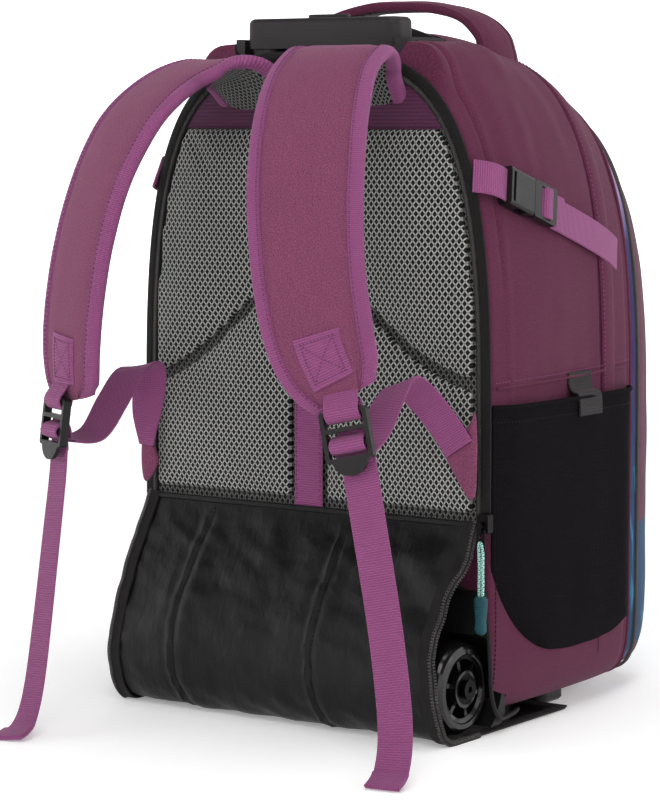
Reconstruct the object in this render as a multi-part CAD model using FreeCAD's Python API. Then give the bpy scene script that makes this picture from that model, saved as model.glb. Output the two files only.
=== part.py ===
import FreeCAD, Part
import math
import os

# A wheeled school backpack with a telescopic trolley handle, in millimetres.
# +X is across the bag, +Y points to its front pockets, -Y to the carrying harness, +Z is up.
# The origin lies on the floor, on the bag's centre plane, under the flap of the wheel cover.

V = FreeCAD.Vector

# ---- driving dimensions ----
WALL = 1.8                      # padded fabric wall
CLEAR = 0.6                     # gap between a soft piece and its neighbour
WAIST_Z = 180.0                 # height where the bag is widest
BASE_Z = 10.0                   # underside of the main compartment
SHOULDER_POWER = 3.0            # roundness of the arched top
CORNER_POWER = 12.0             # roundness of the bottom corners
OUTLINE_POINTS = 44

# sections of the two compartments: distance y, half width, top height, underside
MAIN_SECTIONS = ((-106, 153, 482, 10), (-70, 156.5, 496, 10), (-20, 158, 498, 10),
                 (30, 157, 489, 10), (65, 155, 476, 10), (92, 152, 463, 10))
FRONT_SECTIONS = ((95, 151, 460, 12), (118, 147, 445, 13), (135, 141, 430, 15),
                  (150, 134, 405, 20), (163, 124, 370, 28))
POCKET_SECTIONS = ((163.8, 116, 268, 36), (171, 110, 262, 44), (176, 96, 248, 58))
PIPING_Y = (106.8, 109.2)       # piping round the front compartment
BACK_Y = MAIN_SECTIONS[0][0]

# back panel
PANEL_BOTTOM_Z = 154.0
ZIP_BAND = 17.0                 # width of the perimeter zip's tape
BAND_T = 3.0
PAD_TOP_Z = 430.0
PAD_T = 11.0
PAD_EDGE = ZIP_BAND + 2.0       # inset of the pads from the bag's edge
CHANNEL = 9.0                   # sewn channel between the upper pad and the lower pads
CHANNEL_LINE = ((-160, 236), (-128, 246), (-92, 268), (-52, 300), (0, 330),
                (52, 300), (92, 270), (128, 253), (160, 245))
CENTRE_WEB_W = 25.0
YOKE_TOP_Z = 462.0

# wheels
WHEEL_R = 33.5
WHEEL_W = 24.0
WHEEL_X = 133.0                 # middle of the wheel
WHEEL_Y = -123.0
WHEEL_Z = 36.5
HUB_R = 24.0
BEARING_R = 11.0
BEARING_W = 7.0
AXLE_R = 4.0
RUN_FIT = 0.05
HOUSING_X = (112.0, 150.5)
HOUSING_Y = (-113.0, -81.0)
HOUSING_Z = (6.0, 104.0)
PLATE_T = 4.0

# trolley handle
TUBE_X = 52.0
TUBE_Y = -84.0
OUTER_R, MIDDLE_R, INNER_R = 10.0, 8.95, 7.9
TUBE_T = 1.0
OUTER_Z = (16.0, 454.0)
MIDDLE_Z = (22.0, 462.0)
INNER_Z = (30.0, 470.0)
CUP_X, CUP_Y, CUP_Z = 77.0, (-102.5, -44.0), (444.0, 493.0)
CUP_WALL = 6.5
CUP_CROWN_Z = 507.0             # top of the arched rim behind the grip
CUP_FLOOR_Z = 464.0
GRIP_X = 67.0
GRIP_Y = (-99.0, -72.0)
GRIP_LEG = 11.5                 # half width of the grip's two legs
GRIP_Z = (486.0, 508.0)
BUTTON = (34.0, 12.0)           # length and width of the release button
SPRING_R, SPRING_WIRE, SPRING_TURNS = 3.6, 0.9, 5

# wheel cover: height and depth of its outer face, from the zip at the top to the flap's hem
COVER_X = 146.0
COVER_T = 2.0
COVER_LINE = ((-113, 154), (-124, 132), (-139, 104), (-154, 72), (-161.5, 42), (-160, 18),
              (-153, 5), (-141, 0), (-60, 0), (8, 0))
COVER_ZIP_W = 9.0

# shoulder straps: x, y, z of the middle, width, and turn of the face away from straight back
STRAP_T = 12.0
STRAP_RIGHT = ((48, -121, 464, 74, 0), (50, -131, 477, 80, 0), (55, -152, 480, 84, 2), (62, -182, 465, 84, 6),
               (72, -208, 437, 84, 12), (80, -225, 402, 84, 15), (86, -234, 366, 82, 17), (93, -239, 326, 80, 17),
               (103, -241, 289, 78, 15), (114, -239.5, 264, 68, 15), (121, -237, 250, 50, 15))
STRAP_LEFT = ((-48, -124, 460, 74, 0), (-54, -133, 470, 80, -6), (-66, -147, 471, 84, -16),
              (-81, -168, 461, 86, -20), (-89, -195, 441, 88, -22), (-94, -214, 417, 88, -23),
              (-100, -228, 386, 86, -24), (-107, -236, 348, 85, -24), (-113, -239, 310, 85, -24),
              (-117, -239, 276, 84, -24), (-118, -237, 248, 74, -23), (-116, -235, 236, 54, -23))

# webbing
WEB_T = 1.6
SIDE_WEB_W = 20.0

# compression strap: the buckle's frame follows the side wall
BUCKLE_START = V(150.5, -84.0, 389.0)
BUCKLE_ALONG = V(0.050, 0.947, -0.316)
BUCKLE_OUT = V(0.985, 0.0, 0.170)
SOCKET_L = 30.0
BUCKLE_W = 28.0
BUCKLE_T = 11.0
PLUG_L = 29.0
FRONT_WEB_END = 172.0

# side pockets
POCKET_X = (158.8, 170.0)
POCKET_TOP_Z = 235.0
POCKET_T = 2.0
POCKET_LINE = ((-108, 160), (-106, 128), (-94, 98), (-70, 70), (-34, 53), (20, 50), (60, 53), (86, 62))

# grab handle: x and z of the middle of the band, from the left foot to the right foot
GRAB_Y = 14.0
GRAB_T = 9.0
GRAB_LINE = ((-81, 485.2, 46), (-76, 497, 44), (-60, 509, 38), (-33, 516.5, 34), (0, 518.5, 33),
             (33, 516.5, 34), (60, 509, 38), (76, 497, 44), (81, 485.2, 46))

# zip pull at the right end of the perimeter zip
PULL_X = 155.0
PULL_Y = -120.5
PULL_Z = 150.0
CORD_R = 1.2
GRIP_PULL = (103.0, 76.0)       # top and bottom of the moulded end

PARTS = "parts"


# ---- helpers ----
def box(x0, x1, y0, y1, z0, z1):
    return Part.makeBox(x1 - x0, y1 - y0, z1 - z0, V(x0, y0, z0))


def rounded_box(x0, x1, y0, y1, z0, z1, radius, along="z"):
    shape = box(x0, x1, y0, y1, z0, z1)
    axis = {"x": V(1, 0, 0), "y": V(0, 1, 0), "z": V(0, 0, 1)}[along]
    edges = [e for e in shape.Edges if abs(e.tangentAt(e.FirstParameter).dot(axis)) > 0.99]
    return shape.makeFillet(radius, edges)


def cylinder_x(radius, x0, x1, y, z):
    return Part.makeCylinder(radius, x1 - x0, V(x0, y, z), V(1, 0, 0))


def mirrored(shape):
    return shape.mirror(V(0, 0, 0), V(1, 0, 0))


def power_curve(value, power):
    return math.copysign(abs(value) ** (2.0 / power), value)


def arch_wire(y, half_w, top, bottom, inset=0.0):
    """Closed outline of the bag at one depth: rounded bottom corners and an arched top."""
    points = []
    for k in range(OUTLINE_POINTS):
        angle = 2 * math.pi * k / OUTLINE_POINTS
        up = math.sin(angle) > 0
        power = SHOULDER_POWER if up else CORNER_POWER
        height = (top - WAIST_Z if up else WAIST_Z - bottom) - inset
        points.append(V((half_w - inset) * power_curve(math.cos(angle), power), y,
                        WAIST_Z + height * power_curve(math.sin(angle), power)))
    curve = Part.BSplineCurve()
    curve.interpolate(Points=points, PeriodicFlag=True)
    return Part.Wire(curve.toShape())


def arch_loft(sections, inset=0.0, end_inset=0.0):
    """Solid through the sections, made smaller all round by inset and at both ends by end_inset."""
    rows = [list(row) for row in sections]
    rows[0][0] += end_inset
    rows[-1][0] -= end_inset
    return Part.makeLoft([arch_wire(*row, inset) for row in rows], True, False)


def arch_slab(y0, y1, section, inset):
    wire = arch_wire(y0, *section[1:], inset)
    return Part.Face(wire).extrude(V(0, y1 - y0, 0))


def prism_x(points, x0, x1):
    """Solid with a straight-sided outline in the y-z plane."""
    corners = [V(x0, y, z) for y, z in points]
    return Part.Face(Part.makePolygon(corners + corners[:1])).extrude(V(x1 - x0, 0, 0))


def prism_y(points, y0, y1):
    """Solid with a straight-sided outline in the x-z plane."""
    corners = [V(x, y0, z) for x, z in points]
    return Part.Face(Part.makePolygon(corners + corners[:1])).extrude(V(0, y1 - y0, 0))


def smooth_line(points, steps):
    """Points along a smooth curve through the given ones, each a tuple of numbers."""
    out = []
    last = len(points) - 1
    for k in range(last):
        p0, p1, p2, p3 = (points[min(max(k + d, 0), last)] for d in (-1, 0, 1, 2))
        for step in range(steps):
            t = step / steps
            out.append(tuple(0.5 * (2 * b + (c - a) * t + (2 * a - 5 * b + 4 * c - d) * t * t
                                    + (3 * b - a - 3 * c + d) * t ** 3)
                             for a, b, c, d in zip(p0, p1, p2, p3)))
    return out + [tuple(points[last])]


def section_frame(points, k):
    """Direction of a path at one of its points."""
    before, after = points[max(k - 1, 0)], points[min(k + 1, len(points) - 1)]
    return (after - before).normalize()


def band(points, sides, widths, thick, corners):
    """Flat strip along a path. sides are its width directions, corners its section's shape."""
    wires = []
    for k, centre in enumerate(points):
        along = section_frame(points, k)
        side = (sides[k] - along * sides[k].dot(along)).normalize()
        out = along.cross(side)
        ring = [centre + side * (a * widths[k] / 2) + out * (b * thick / 2) for a, b in corners]
        wires.append(Part.makePolygon(ring + ring[:1]))
    return Part.makeLoft(wires, True, True)


FLAT = ((-1, -1), (1, -1), (1, 1), (-1, 1))
PADDED = ((-1, -0.45), (-0.86, -1), (0.86, -1), (1, -0.45), (1, 0.45), (0.86, 1), (-0.86, 1), (-1, 0.45))


def webbing(stations, steps=3, thick=WEB_T):
    """Webbing through stations of x, y, z, width and the width direction's three numbers."""
    rows = smooth_line(stations, steps)
    return band([V(*r[:3]) for r in rows], [V(*r[4:7]) for r in rows], [r[3] for r in rows], thick, FLAT)


def placed(shape, origin, along, across, out):
    """Moves a shape from its own axes (along, across, out) to the bag's."""
    matrix = FreeCAD.Matrix(along.x, across.x, out.x, origin.x, along.y, across.y, out.y, origin.y,
                            along.z, across.z, out.z, origin.z, 0, 0, 0, 1)
    return shape.transformGeometry(matrix)


# ---- bag body ----
def housing_block(grow):
    x0, x1 = HOUSING_X
    y1, z1 = HOUSING_Y[1], HOUSING_Z[1]
    return box(x0 - grow, x1 + grow, HOUSING_Y[0] - 20, y1 + grow, -5, z1 + grow)


def cup_block(grow):
    return rounded_box(-CUP_X - grow, CUP_X + grow, CUP_Y[0] - grow, CUP_Y[1] + grow,
                       CUP_Z[0] - grow, CUP_Z[1] + 60, 10 + grow)


def main_shell():
    outer = arch_loft(MAIN_SECTIONS)
    inner = arch_loft(MAIN_SECTIONS, WALL, WALL)
    for block in (housing_block(CLEAR), mirrored(housing_block(CLEAR))):
        outer = outer.cut(block)
    for block in (housing_block(CLEAR + WALL), mirrored(housing_block(CLEAR + WALL))):
        inner = inner.cut(block)
    shell = outer.cut(inner).cut(cup_block(CLEAR))
    x1 = HOUSING_X[0] + 1
    for y, z in SCREW_PLACES:
        shell = shell.cut(cylinder_x(2.8, x1 - 8, x1, y, z)).cut(cylinder_x(2.8, -x1, 8 - x1, y, z))
    return shell


def front_compartment():
    return arch_loft(FRONT_SECTIONS).cut(arch_loft(FRONT_SECTIONS, WALL, WALL))


def lower_front_pocket():
    return arch_loft(POCKET_SECTIONS).cut(arch_loft(POCKET_SECTIONS, WALL, WALL))


def front_piping():
    ring = arch_loft(FRONT_SECTIONS, -2.6).cut(arch_loft(FRONT_SECTIONS, -CLEAR))
    return ring.common(box(-200, 200, *PIPING_Y, -10, 520))


def main_zip():
    ring = arch_loft(MAIN_SECTIONS, -2.6).cut(arch_loft(MAIN_SECTIONS, -CLEAR))
    return ring.common(box(-200, 200, 50, 62, 120, 520))


def frame_board():
    board = arch_slab(-70.0, -68.5, MAIN_SECTIONS[1], 6.0)
    return board.common(box(-200, 200, -80, -60, 20, CUP_Z[0] - 4))


def perimeter_zip():
    y0, y1 = BACK_Y - 0.4 - BAND_T, BACK_Y - 0.4
    section = MAIN_SECTIONS[0]
    tape = arch_slab(y0, y1, section, 0.0).cut(arch_slab(y0, y1, section, ZIP_BAND))
    ridge = arch_slab(y0 - 1.6, y0, section, ZIP_BAND - 3.0).cut(arch_slab(y0 - 1.6, y0, section, ZIP_BAND))
    return tape.fuse(ridge).common(box(-200, 200, -130, -100, PANEL_BOTTOM_Z - 4, 520)).removeSplitter()


# ---- back panel ----
PAD_Y = (BACK_Y - 0.6 - PAD_T, BACK_Y - 0.6)


def pad_field():
    return arch_slab(PAD_Y[0], PAD_Y[1], MAIN_SECTIONS[0], PAD_EDGE)


def upper_back_pad():
    line = smooth_line(CHANNEL_LINE, 3)
    outline = [(x, z + CHANNEL / 2) for x, z in line] + [(170, PAD_TOP_Z), (-170, PAD_TOP_Z)]
    return pad_field().common(prism_y(outline, -140, -90))


def lower_back_pad(sign):
    line = [(x, z) for x, z in smooth_line(CHANNEL_LINE, 3) if x * sign >= 0]
    gap = CENTRE_WEB_W / 2 + 1.0
    outline = [(sign * gap, PANEL_BOTTOM_Z + 3)]
    outline += [(x, z - CHANNEL / 2) for x, z in sorted(line, key=lambda p: p[0] * sign) if abs(x) > gap]
    outline += [(sign * 170, PANEL_BOTTOM_Z + 3)]
    return pad_field().common(prism_y(outline, -140, -90))


def centre_webbing():
    half = CENTRE_WEB_W / 2
    return box(-half, half, BACK_Y - 8.0, BACK_Y - 0.6, PANEL_BOTTOM_Z + 3, 318)


def yoke_band():
    slab = arch_slab(BACK_Y - 7.0, BACK_Y - 0.6, MAIN_SECTIONS[0], PAD_EDGE)
    return slab.common(box(-200, 200, -140, -90, PAD_TOP_Z + 1.0, YOKE_TOP_Z))


# ---- harness ----
def shoulder_strap(stations):
    rows = smooth_line(stations, 2)
    points = [V(*row[:3]) for row in rows]
    sides = [V(math.cos(math.radians(row[4])), math.sin(math.radians(row[4])), 0) for row in rows]
    return band(points, sides, [row[3] for row in rows], STRAP_T, PADDED)


def ladder_lock_shape():
    """Three-bar strap adjuster; along = down the strap, across = its width, out = its face."""
    half = 17.0
    frame = rounded_box(-20, 15, -half, half, -3, 3, 2.5)
    for low, high in ((-16.5, -8.0), (-5.0, 3.0), (6.0, 12.0)):
        frame = frame.cut(box(low, high, -half + 3, half - 3, -5, 5))
    tongue = Part.makeCylinder(13.0, 3.0, V(12, 0, 0)).common(box(14.9, 30, -20, 20, -1, 5))
    return frame.fuse(tongue).removeSplitter()


LOCKS = {  # centre, direction down the strap, width direction
    "right": (V(129.5, -246, 224), V(8, -1, -34), V(math.cos(math.radians(15)), math.sin(math.radians(15)), 0.2)),
    "left": (V(-127.5, -245, 217), V(-2, -4, -36),
             V(math.cos(math.radians(24)), -math.sin(math.radians(24)), 0)),
}


def ladder_lock(side):
    centre, along, across = LOCKS[side]
    along = V(along).normalize()
    across = (across - along * across.dot(along)).normalize()
    return placed(ladder_lock_shape(), centre, along, across, along.cross(across))


LOWER_WEB = {
    "right": ((131, -237, 214, 25, 0.97, 0.24, 0), (128, -214, 224, 25, 0.97, 0.24, 0.05),
              (121, -184, 245, 25, 0.96, 0.2, 0.2), (116, -160, 254, 25, 0.9, 0.1, 0.4),
              (120, -139, 240, 25, 0.8, 0, 0.6), (128, -128, 223, 25, 0.775, 0, 0.63),
              (133, -124.5, 214, 25, 0.775, 0, 0.63)),
    "left": ((-126, -236, 205, 25, 0.92, -0.39, 0), (-122, -210, 208, 25, 0.9, -0.2, -0.3),
             (-125, -184, 229, 25, 0.9, 0, -0.4), (-128, -160, 249, 25, 0.9, 0.2, 0),
             (-128, -140, 251, 25, 0.85, 0.3, 0.3), (-134, -130, 236, 25, 0.8, 0.3, 0.5),
             (-142, -124, 212, 22, 0.9, 0.2, 0.4), (-144, -121.5, 190, 14, 1, 0, 0.1)),
}
TAILS = {
    "right": ((130, -239.5, 231, 25, 0.97, 0.24, 0), (134, -239.5, 208, 25, 0.97, 0.24, 0),
              (144, -244, 160, 25, 0.97, 0.22, 0), (155, -250, 95, 25, 0.98, 0.2, 0),
              (163, -258, 36, 25, 0.98, 0.2, 0), (166, -268, 9, 25, 0.98, 0.2, 0),
              (168, -283, 1.4, 25, 0.98, 0.2, 0)),
    "left": ((-127, -239, 224, 25, 0.92, -0.39, 0), (-127, -241.5, 196, 25, 0.92, -0.39, 0),
             (-125, -250, 150, 25, 0.93, -0.36, 0), (-124, -261, 92, 25, 0.94, -0.33, 0),
             (-123, -275, 36, 25, 0.95, -0.3, 0), (-121, -289, 9, 25, 0.95, -0.3, 0),
             (-117, -312, 1.4, 25, 0.95, -0.3, 0)),
}


def anchor_gussets():
    """Triangles of bag fabric sewn into the back panel's edges, which hold the lower webbing."""
    y0, y1 = PAD_Y[0] - 2.4, PAD_Y[0] - 0.6
    right = prism_y(((124, 200), (145, 222), (148, 226), (149, 196), (146, 172)), y0, y1)
    left = prism_y(((-148, 204), (-138, 186), (-136, 176), (-146, 164), (-149, 176)), y0, y1)
    return Part.makeCompound([right, left])


# ---- wheels ----
def wheel_cover():
    line = smooth_line(COVER_LINE, 2)
    inner = []
    for k, (y, z) in enumerate(line):
        before, after = line[max(k - 1, 0)], line[min(k + 1, len(line) - 1)]
        dy, dz = after[0] - before[0], after[1] - before[1]
        size = math.hypot(dy, dz)
        inner.append((y - dz / size * COVER_T, z + dy / size * COVER_T))
    line = [(y, max(z, 0.0)) for y, z in line]
    return prism_x(line + inner[::-1], -COVER_X, COVER_X)


def cover_zips():
    strips = []
    line = [(y, z) for y, z in smooth_line(COVER_LINE[:8], 2)]
    back = [(y + 1.5, z) if z > 20 else (y + 1.0, z + 1.5) for y, z in line]
    for x0, x1 in ((-COVER_X - 0.5 - COVER_ZIP_W, -COVER_X - 0.5), (COVER_X + 0.5, COVER_X + 3.8)):
        strips.append(prism_x([(y, max(z, 0.0)) for y, z in line] + back[::-1], x0, x1))
    return Part.makeCompound(strips)


def wheel_housing():
    x0, x1 = HOUSING_X
    block = rounded_box(x0, x1, *HOUSING_Y, *HOUSING_Z, 8, "x")
    block = block.cut(cylinder_x(WHEEL_R + 5, x0 + PLATE_T, x1 + 1, WHEEL_Y, WHEEL_Z))
    block = block.cut(rounded_box(x0 + PLATE_T, x1 - 3, HOUSING_Y[0] + 3, HOUSING_Y[1] + 1,
                                  80, HOUSING_Z[1] - 3, 4, "x"))
    plate = rounded_box(x0, x0 + PLATE_T, -146, HOUSING_Y[1], 9, 78, 20, "x")
    boss = cylinder_x(9, x0, WHEEL_X - WHEEL_W / 2 - 0.6, WHEEL_Y, WHEEL_Z)
    body = block.fuse([plate, boss]).removeSplitter()
    body = body.cut(cylinder_x(AXLE_R + 0.05, x0 - 1, x1 + 1, WHEEL_Y, WHEEL_Z))
    for y, z in SCREW_PLACES:
        body = body.cut(cylinder_x(2.6, x0 - 1, x0 + PLATE_T + 1, y, z))
    return body


SCREW_PLACES = ((-101.0, 91.0), (-89.0, 91.0))


def axle():
    shaft = cylinder_x(AXLE_R, HOUSING_X[0] - 1.5, WHEEL_X + WHEEL_W / 2 + 1, WHEEL_Y, WHEEL_Z)
    head = cylinder_x(7.0, WHEEL_X + WHEEL_W / 2 + 0.6, WHEEL_X + WHEEL_W / 2 + 3.2, WHEEL_Y, WHEEL_Z)
    socket = cylinder_x(2.4, WHEEL_X + WHEEL_W / 2 + 1.4, WHEEL_X + WHEEL_W / 2 + 4, WHEEL_Y, WHEEL_Z)
    return shaft.fuse(head).cut(socket).removeSplitter()


def turned(profile):
    """Solid of revolution about the wheel's axle from points of x and radius."""
    points = [V(x, WHEEL_Y, WHEEL_Z + r) for x, r in profile]
    face = Part.Face(Part.makePolygon(points + points[:1]))
    return face.revolve(V(0, WHEEL_Y, WHEEL_Z), V(1, 0, 0), 360)


def tyre():
    """Round-backed tyre, widest near its middle, as on an in-line skate."""
    half = WHEEL_W / 2 - 1
    arc = []
    for k in range(13):
        angle = math.pi * k / 12
        arc.append((WHEEL_X - half * math.cos(angle),
                    HUB_R + 1.0 + (WHEEL_R - HUB_R - 1.0) * math.sin(angle) ** 0.7))
    return turned([(WHEEL_X - half + 1, HUB_R)] + arc + [(WHEEL_X + half - 1, HUB_R)])


def wheel_hub():
    half = WHEEL_W / 2
    rim = turned(((WHEEL_X - 9, HUB_R - 3), (WHEEL_X - 10, HUB_R), (WHEEL_X + 10, HUB_R), (WHEEL_X + 9, HUB_R - 3)))
    core = cylinder_x(BEARING_R + 2.2, WHEEL_X - half + 0.4, WHEEL_X + half - 0.4, WHEEL_Y, WHEEL_Z)
    spokes = []
    for k in range(6):
        spoke = box(WHEEL_X - 8.5, WHEEL_X + 8.5, WHEEL_Y - 1.6, WHEEL_Y + 1.6,
                    WHEEL_Z + 10, WHEEL_Z + HUB_R - 1)
        spoke.rotate(V(0, WHEEL_Y, WHEEL_Z), V(1, 0, 0), 60 * k + 15)
        spokes.append(spoke)
    hub = rim.fuse([core] + spokes).removeSplitter()
    hub = hub.cut(cylinder_x(BEARING_R, WHEEL_X - half - 1, WHEEL_X - half + 0.8 + BEARING_W, WHEEL_Y, WHEEL_Z))
    hub = hub.cut(cylinder_x(BEARING_R, WHEEL_X + half - 0.8 - BEARING_W, WHEEL_X + half + 1, WHEEL_Y, WHEEL_Z))
    return hub.cut(cylinder_x(AXLE_R + 2, WHEEL_X - half, WHEEL_X + half, WHEEL_Y, WHEEL_Z))


def wheel_bearings():
    half = WHEEL_W / 2
    rings = []
    for x0 in (WHEEL_X - half + 0.8, WHEEL_X + half - 0.8 - BEARING_W):
        ring = cylinder_x(BEARING_R, x0, x0 + BEARING_W, WHEEL_Y, WHEEL_Z)
        rings.append(ring.cut(cylinder_x(AXLE_R + RUN_FIT, x0 - 1, x0 + BEARING_W + 1, WHEEL_Y, WHEEL_Z)))
    return Part.makeCompound(rings)


def base_tray():
    """Moulded tray inside the bag's floor; the wheel housings and the handle's tubes fix to it."""
    x1 = HOUSING_X[0] - CLEAR - WALL - 0.8
    tray = rounded_box(-x1, x1, -102, -72, 13, 38, 4)
    tray = tray.cut(box(-x1 + 3, x1 - 3, -99, -75, 16, 40))
    for sign in (-1, 1):
        tray = tray.fuse(Part.makeCylinder(OUTER_R + 2.5, 20, V(sign * TUBE_X, TUBE_Y, 14.5)))
    for sign in (-1, 1):
        tray = tray.cut(Part.makeCylinder(OUTER_R + 0.05, 40, V(sign * TUBE_X, TUBE_Y, OUTER_Z[0])))
    return tray.removeSplitter()


def front_feet():
    feet = []
    for sign in (-1, 1):
        foot = rounded_box(sign * 108 - 17, sign * 108 + 17, 12, 46, 0, BASE_Z - CLEAR, 8)
        feet.append(foot.makeChamfer(2.0, [e for e in foot.Edges if e.BoundBox.ZMax < 0.1]))
    return Part.makeCompound(feet)


# ---- trolley handle ----
def tube_pair(radius, span):
    tubes = []
    for sign in (-1, 1):
        start = V(sign * TUBE_X, TUBE_Y, span[0])
        tube = Part.makeCylinder(radius, span[1] - span[0], start)
        tubes.append(tube.cut(Part.makeCylinder(radius - TUBE_T, span[1] - span[0], start)))
    return Part.makeCompound(tubes)


def handle_cup():
    cup = rounded_box(-CUP_X, CUP_X, *CUP_Y, *CUP_Z, 10)
    inner_x = CUP_X - CUP_WALL
    cup = cup.cut(rounded_box(-inner_x, inner_x, CUP_Y[0] + 2, CUP_Y[1] - 3, CUP_FLOOR_Z, CUP_Z[1] + 5, 8))
    cup = cup.cut(box(-CUP_X - 1, CUP_X + 1, CUP_Y[0] - 1, -99.5, 479, CUP_Z[1] + 5))
    for sign in (-1, 1):
        centre = V(sign * TUBE_X, TUBE_Y, CUP_Z[0] - 1)
        cup = cup.cut(Part.makeCylinder(MIDDLE_R + 0.35, 60, centre))
        cup = cup.cut(Part.makeCylinder(OUTER_R + 0.05, OUTER_Z[1] - CUP_Z[0] + 1, centre))
    hollow = rounded_box(-36, 36, CUP_Y[0] + 3, CUP_Y[1] - 3, CUP_Z[0] - 1, CUP_FLOOR_Z - 3, 6)
    crown = [(x, CUP_Z[1] + (CUP_CROWN_Z - CUP_Z[1]) * (1 - (x / (CUP_X - 10)) ** 2))
             for x in range(10 - int(CUP_X), int(CUP_X) - 9, 6)]
    rim = prism_y([(10 - CUP_X, CUP_Z[1] - 2)] + crown + [(CUP_X - 10, CUP_Z[1] - 2)], CUP_Y[1] - 3, CUP_Y[1])
    return cup.cut(hollow).fuse(rim).removeSplitter()


def grip_body():
    bar = rounded_box(-GRIP_X, GRIP_X, *GRIP_Y, *GRIP_Z, 9)
    bar = bar.makeFillet(4.5, [e for e in bar.Edges if e.BoundBox.ZMin > GRIP_Z[1] - 0.1])
    legs = [rounded_box(sign * TUBE_X - GRIP_LEG, sign * TUBE_X + GRIP_LEG, GRIP_Y[0] + 2, GRIP_Y[1] - 2,
                        466, GRIP_Z[0] + 1, 6) for sign in (-1, 1)]
    grip = bar.fuse(legs).removeSplitter()
    for sign in (-1, 1):
        grip = grip.cut(Part.makeCylinder(INNER_R + 0.02, INNER_Z[1] - 460, V(sign * TUBE_X, TUBE_Y, 460)))
    y = (GRIP_Y[0] + GRIP_Y[1]) / 2
    length, width = BUTTON
    grip = grip.cut(rounded_box(-length / 2 - 0.4, length / 2 + 0.4, y - width / 2 - 0.4, y + width / 2 + 0.4,
                                GRIP_Z[1] - 9, GRIP_Z[1] + 1, 5.8))
    return grip.cut(Part.makeCylinder(SPRING_R + SPRING_WIRE + 0.5, 8, V(0, y, GRIP_Z[1] - 16)))


def release_button():
    y = (GRIP_Y[0] + GRIP_Y[1]) / 2
    length, width = BUTTON
    top = GRIP_Z[1] + 2.5
    button = rounded_box(-length / 2, length / 2, y - width / 2, y + width / 2, top - 7, top, 5.4)
    return button.makeFillet(1.2, [e for e in button.Edges if e.BoundBox.ZMin > top - 0.1])


def button_spring():
    y = (GRIP_Y[0] + GRIP_Y[1]) / 2
    low, high = GRIP_Z[1] - 15.2, GRIP_Z[1] + 2.5 - 7 - 0.8
    height = high - low
    helix = Part.makeHelix(height / SPRING_TURNS, height, SPRING_R)
    ring = Part.Wire(Part.makeCircle(SPRING_WIRE / 2, V(SPRING_R, 0, 0), V(0, 1, 0)))
    spring = Part.Wire(helix).makePipeShell([ring], True, True)
    spring.translate(V(0, y, low))
    return spring


def grab_handle():
    rows = smooth_line(GRAB_LINE, 2)
    points = [V(row[0], GRAB_Y, row[1]) for row in rows]
    return band(points, [V(0, 1, 0)] * len(rows), [row[2] for row in rows], GRAB_T, PADDED)


# ---- compression straps ----
def buckle_place(shape):
    along = V(BUCKLE_ALONG).normalize()
    out = (BUCKLE_OUT - along * BUCKLE_OUT.dot(along)).normalize()
    return placed(shape, BUCKLE_START, along, out.cross(along), out)


def buckle_socket():
    half, t = BUCKLE_W / 2, BUCKLE_T / 2
    body = rounded_box(0, SOCKET_L, -half, half, -t, t, 2.5, "x")
    body = body.cut(box(8, SOCKET_L + 1, -half + 2.6, half - 2.6, -t + 2, t - 2))
    body = body.cut(box(13, 23, -half - 1, -half + 3, -t + 2, t - 2))
    body = body.cut(box(13, 23, half - 3, half + 1, -t + 2, t - 2))
    return body.cut(box(2.5, 5.5, -half + 3, half - 3, -t - 1, t + 1))


def buckle_plug():
    half, t = BUCKLE_W / 2, BUCKLE_T / 2
    base = rounded_box(SOCKET_L + 0.5, SOCKET_L + PLUG_L, -half, half, -1.2, t, 2.0, "z")
    for low in (9.0, 17.5):
        base = base.cut(box(SOCKET_L + low, SOCKET_L + low + 6, -half + 3, half - 3, -3, t + 1))
    prongs = [box(10, SOCKET_L + 2, sign * 9 - 1.8, sign * 9 + 1.8, -1.2, 2.6) for sign in (-1, 1)]
    guide = box(14, SOCKET_L + 2, -2.0, 2.0, -1.2, 2.6)
    return base.fuse(prongs + [guide]).removeSplitter()


def socket_webbing():
    half = SIDE_WEB_W / 2
    return box(-17.0, -0.5, -half, half, -WEB_T / 2, WEB_T / 2)


def plug_webbing():
    half = SIDE_WEB_W / 2
    return box(SOCKET_L + 10, FRONT_WEB_END, -half, half, -3.8, -2.2)


# ---- side pockets ----
def pocket_outline(inset, top):
    line = smooth_line(POCKET_LINE, 2)
    middle = V(-12, 150, 0)
    moved = []
    for y, z in line:
        step = V(middle.x - y, middle.y - z, 0).normalize() * inset
        moved.append((y + step.x, z + step.y))
    return [(moved[0][0], top)] + moved + [(moved[-1][0], top)]


def side_pocket():
    x0, x1 = POCKET_X
    body = prism_x(pocket_outline(0, POCKET_TOP_Z), x0, x1)
    return body.cut(prism_x(pocket_outline(4, POCKET_TOP_Z + 20), x0 - 1, x1 - POCKET_T))


def pocket_tab():
    x0, x1 = POCKET_X[0] + 0.2, POCKET_X[1] + 0.6
    top = POCKET_TOP_Z + 1.0
    outside = box(x1, x1 + WEB_T, -10, 22, 222, top + WEB_T)
    over = box(x0, x1 + WEB_T, -10, 22, top, top + WEB_T)
    wall = box(x0, x0 + WEB_T, -10, 22, top, 250)
    return outside.fuse([over, wall]).removeSplitter()


# ---- zip pull ----
def zip_slider():
    body = rounded_box(PULL_X - 4.5, PULL_X + 4.5, -119.0, BACK_Y - BAND_T - 3.0, 147, 161, 2.0, "y")
    arch = box(PULL_X - 1.2, PULL_X + 1.2, -122.6, -118.5, PULL_Z - 3.5, PULL_Z + 5.5)
    window = box(PULL_X - 2, PULL_X + 2, -121.6, -119.0, PULL_Z - 1.6, PULL_Z + 3.0)
    return body.fuse(arch).cut(window).removeSplitter()


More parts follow.
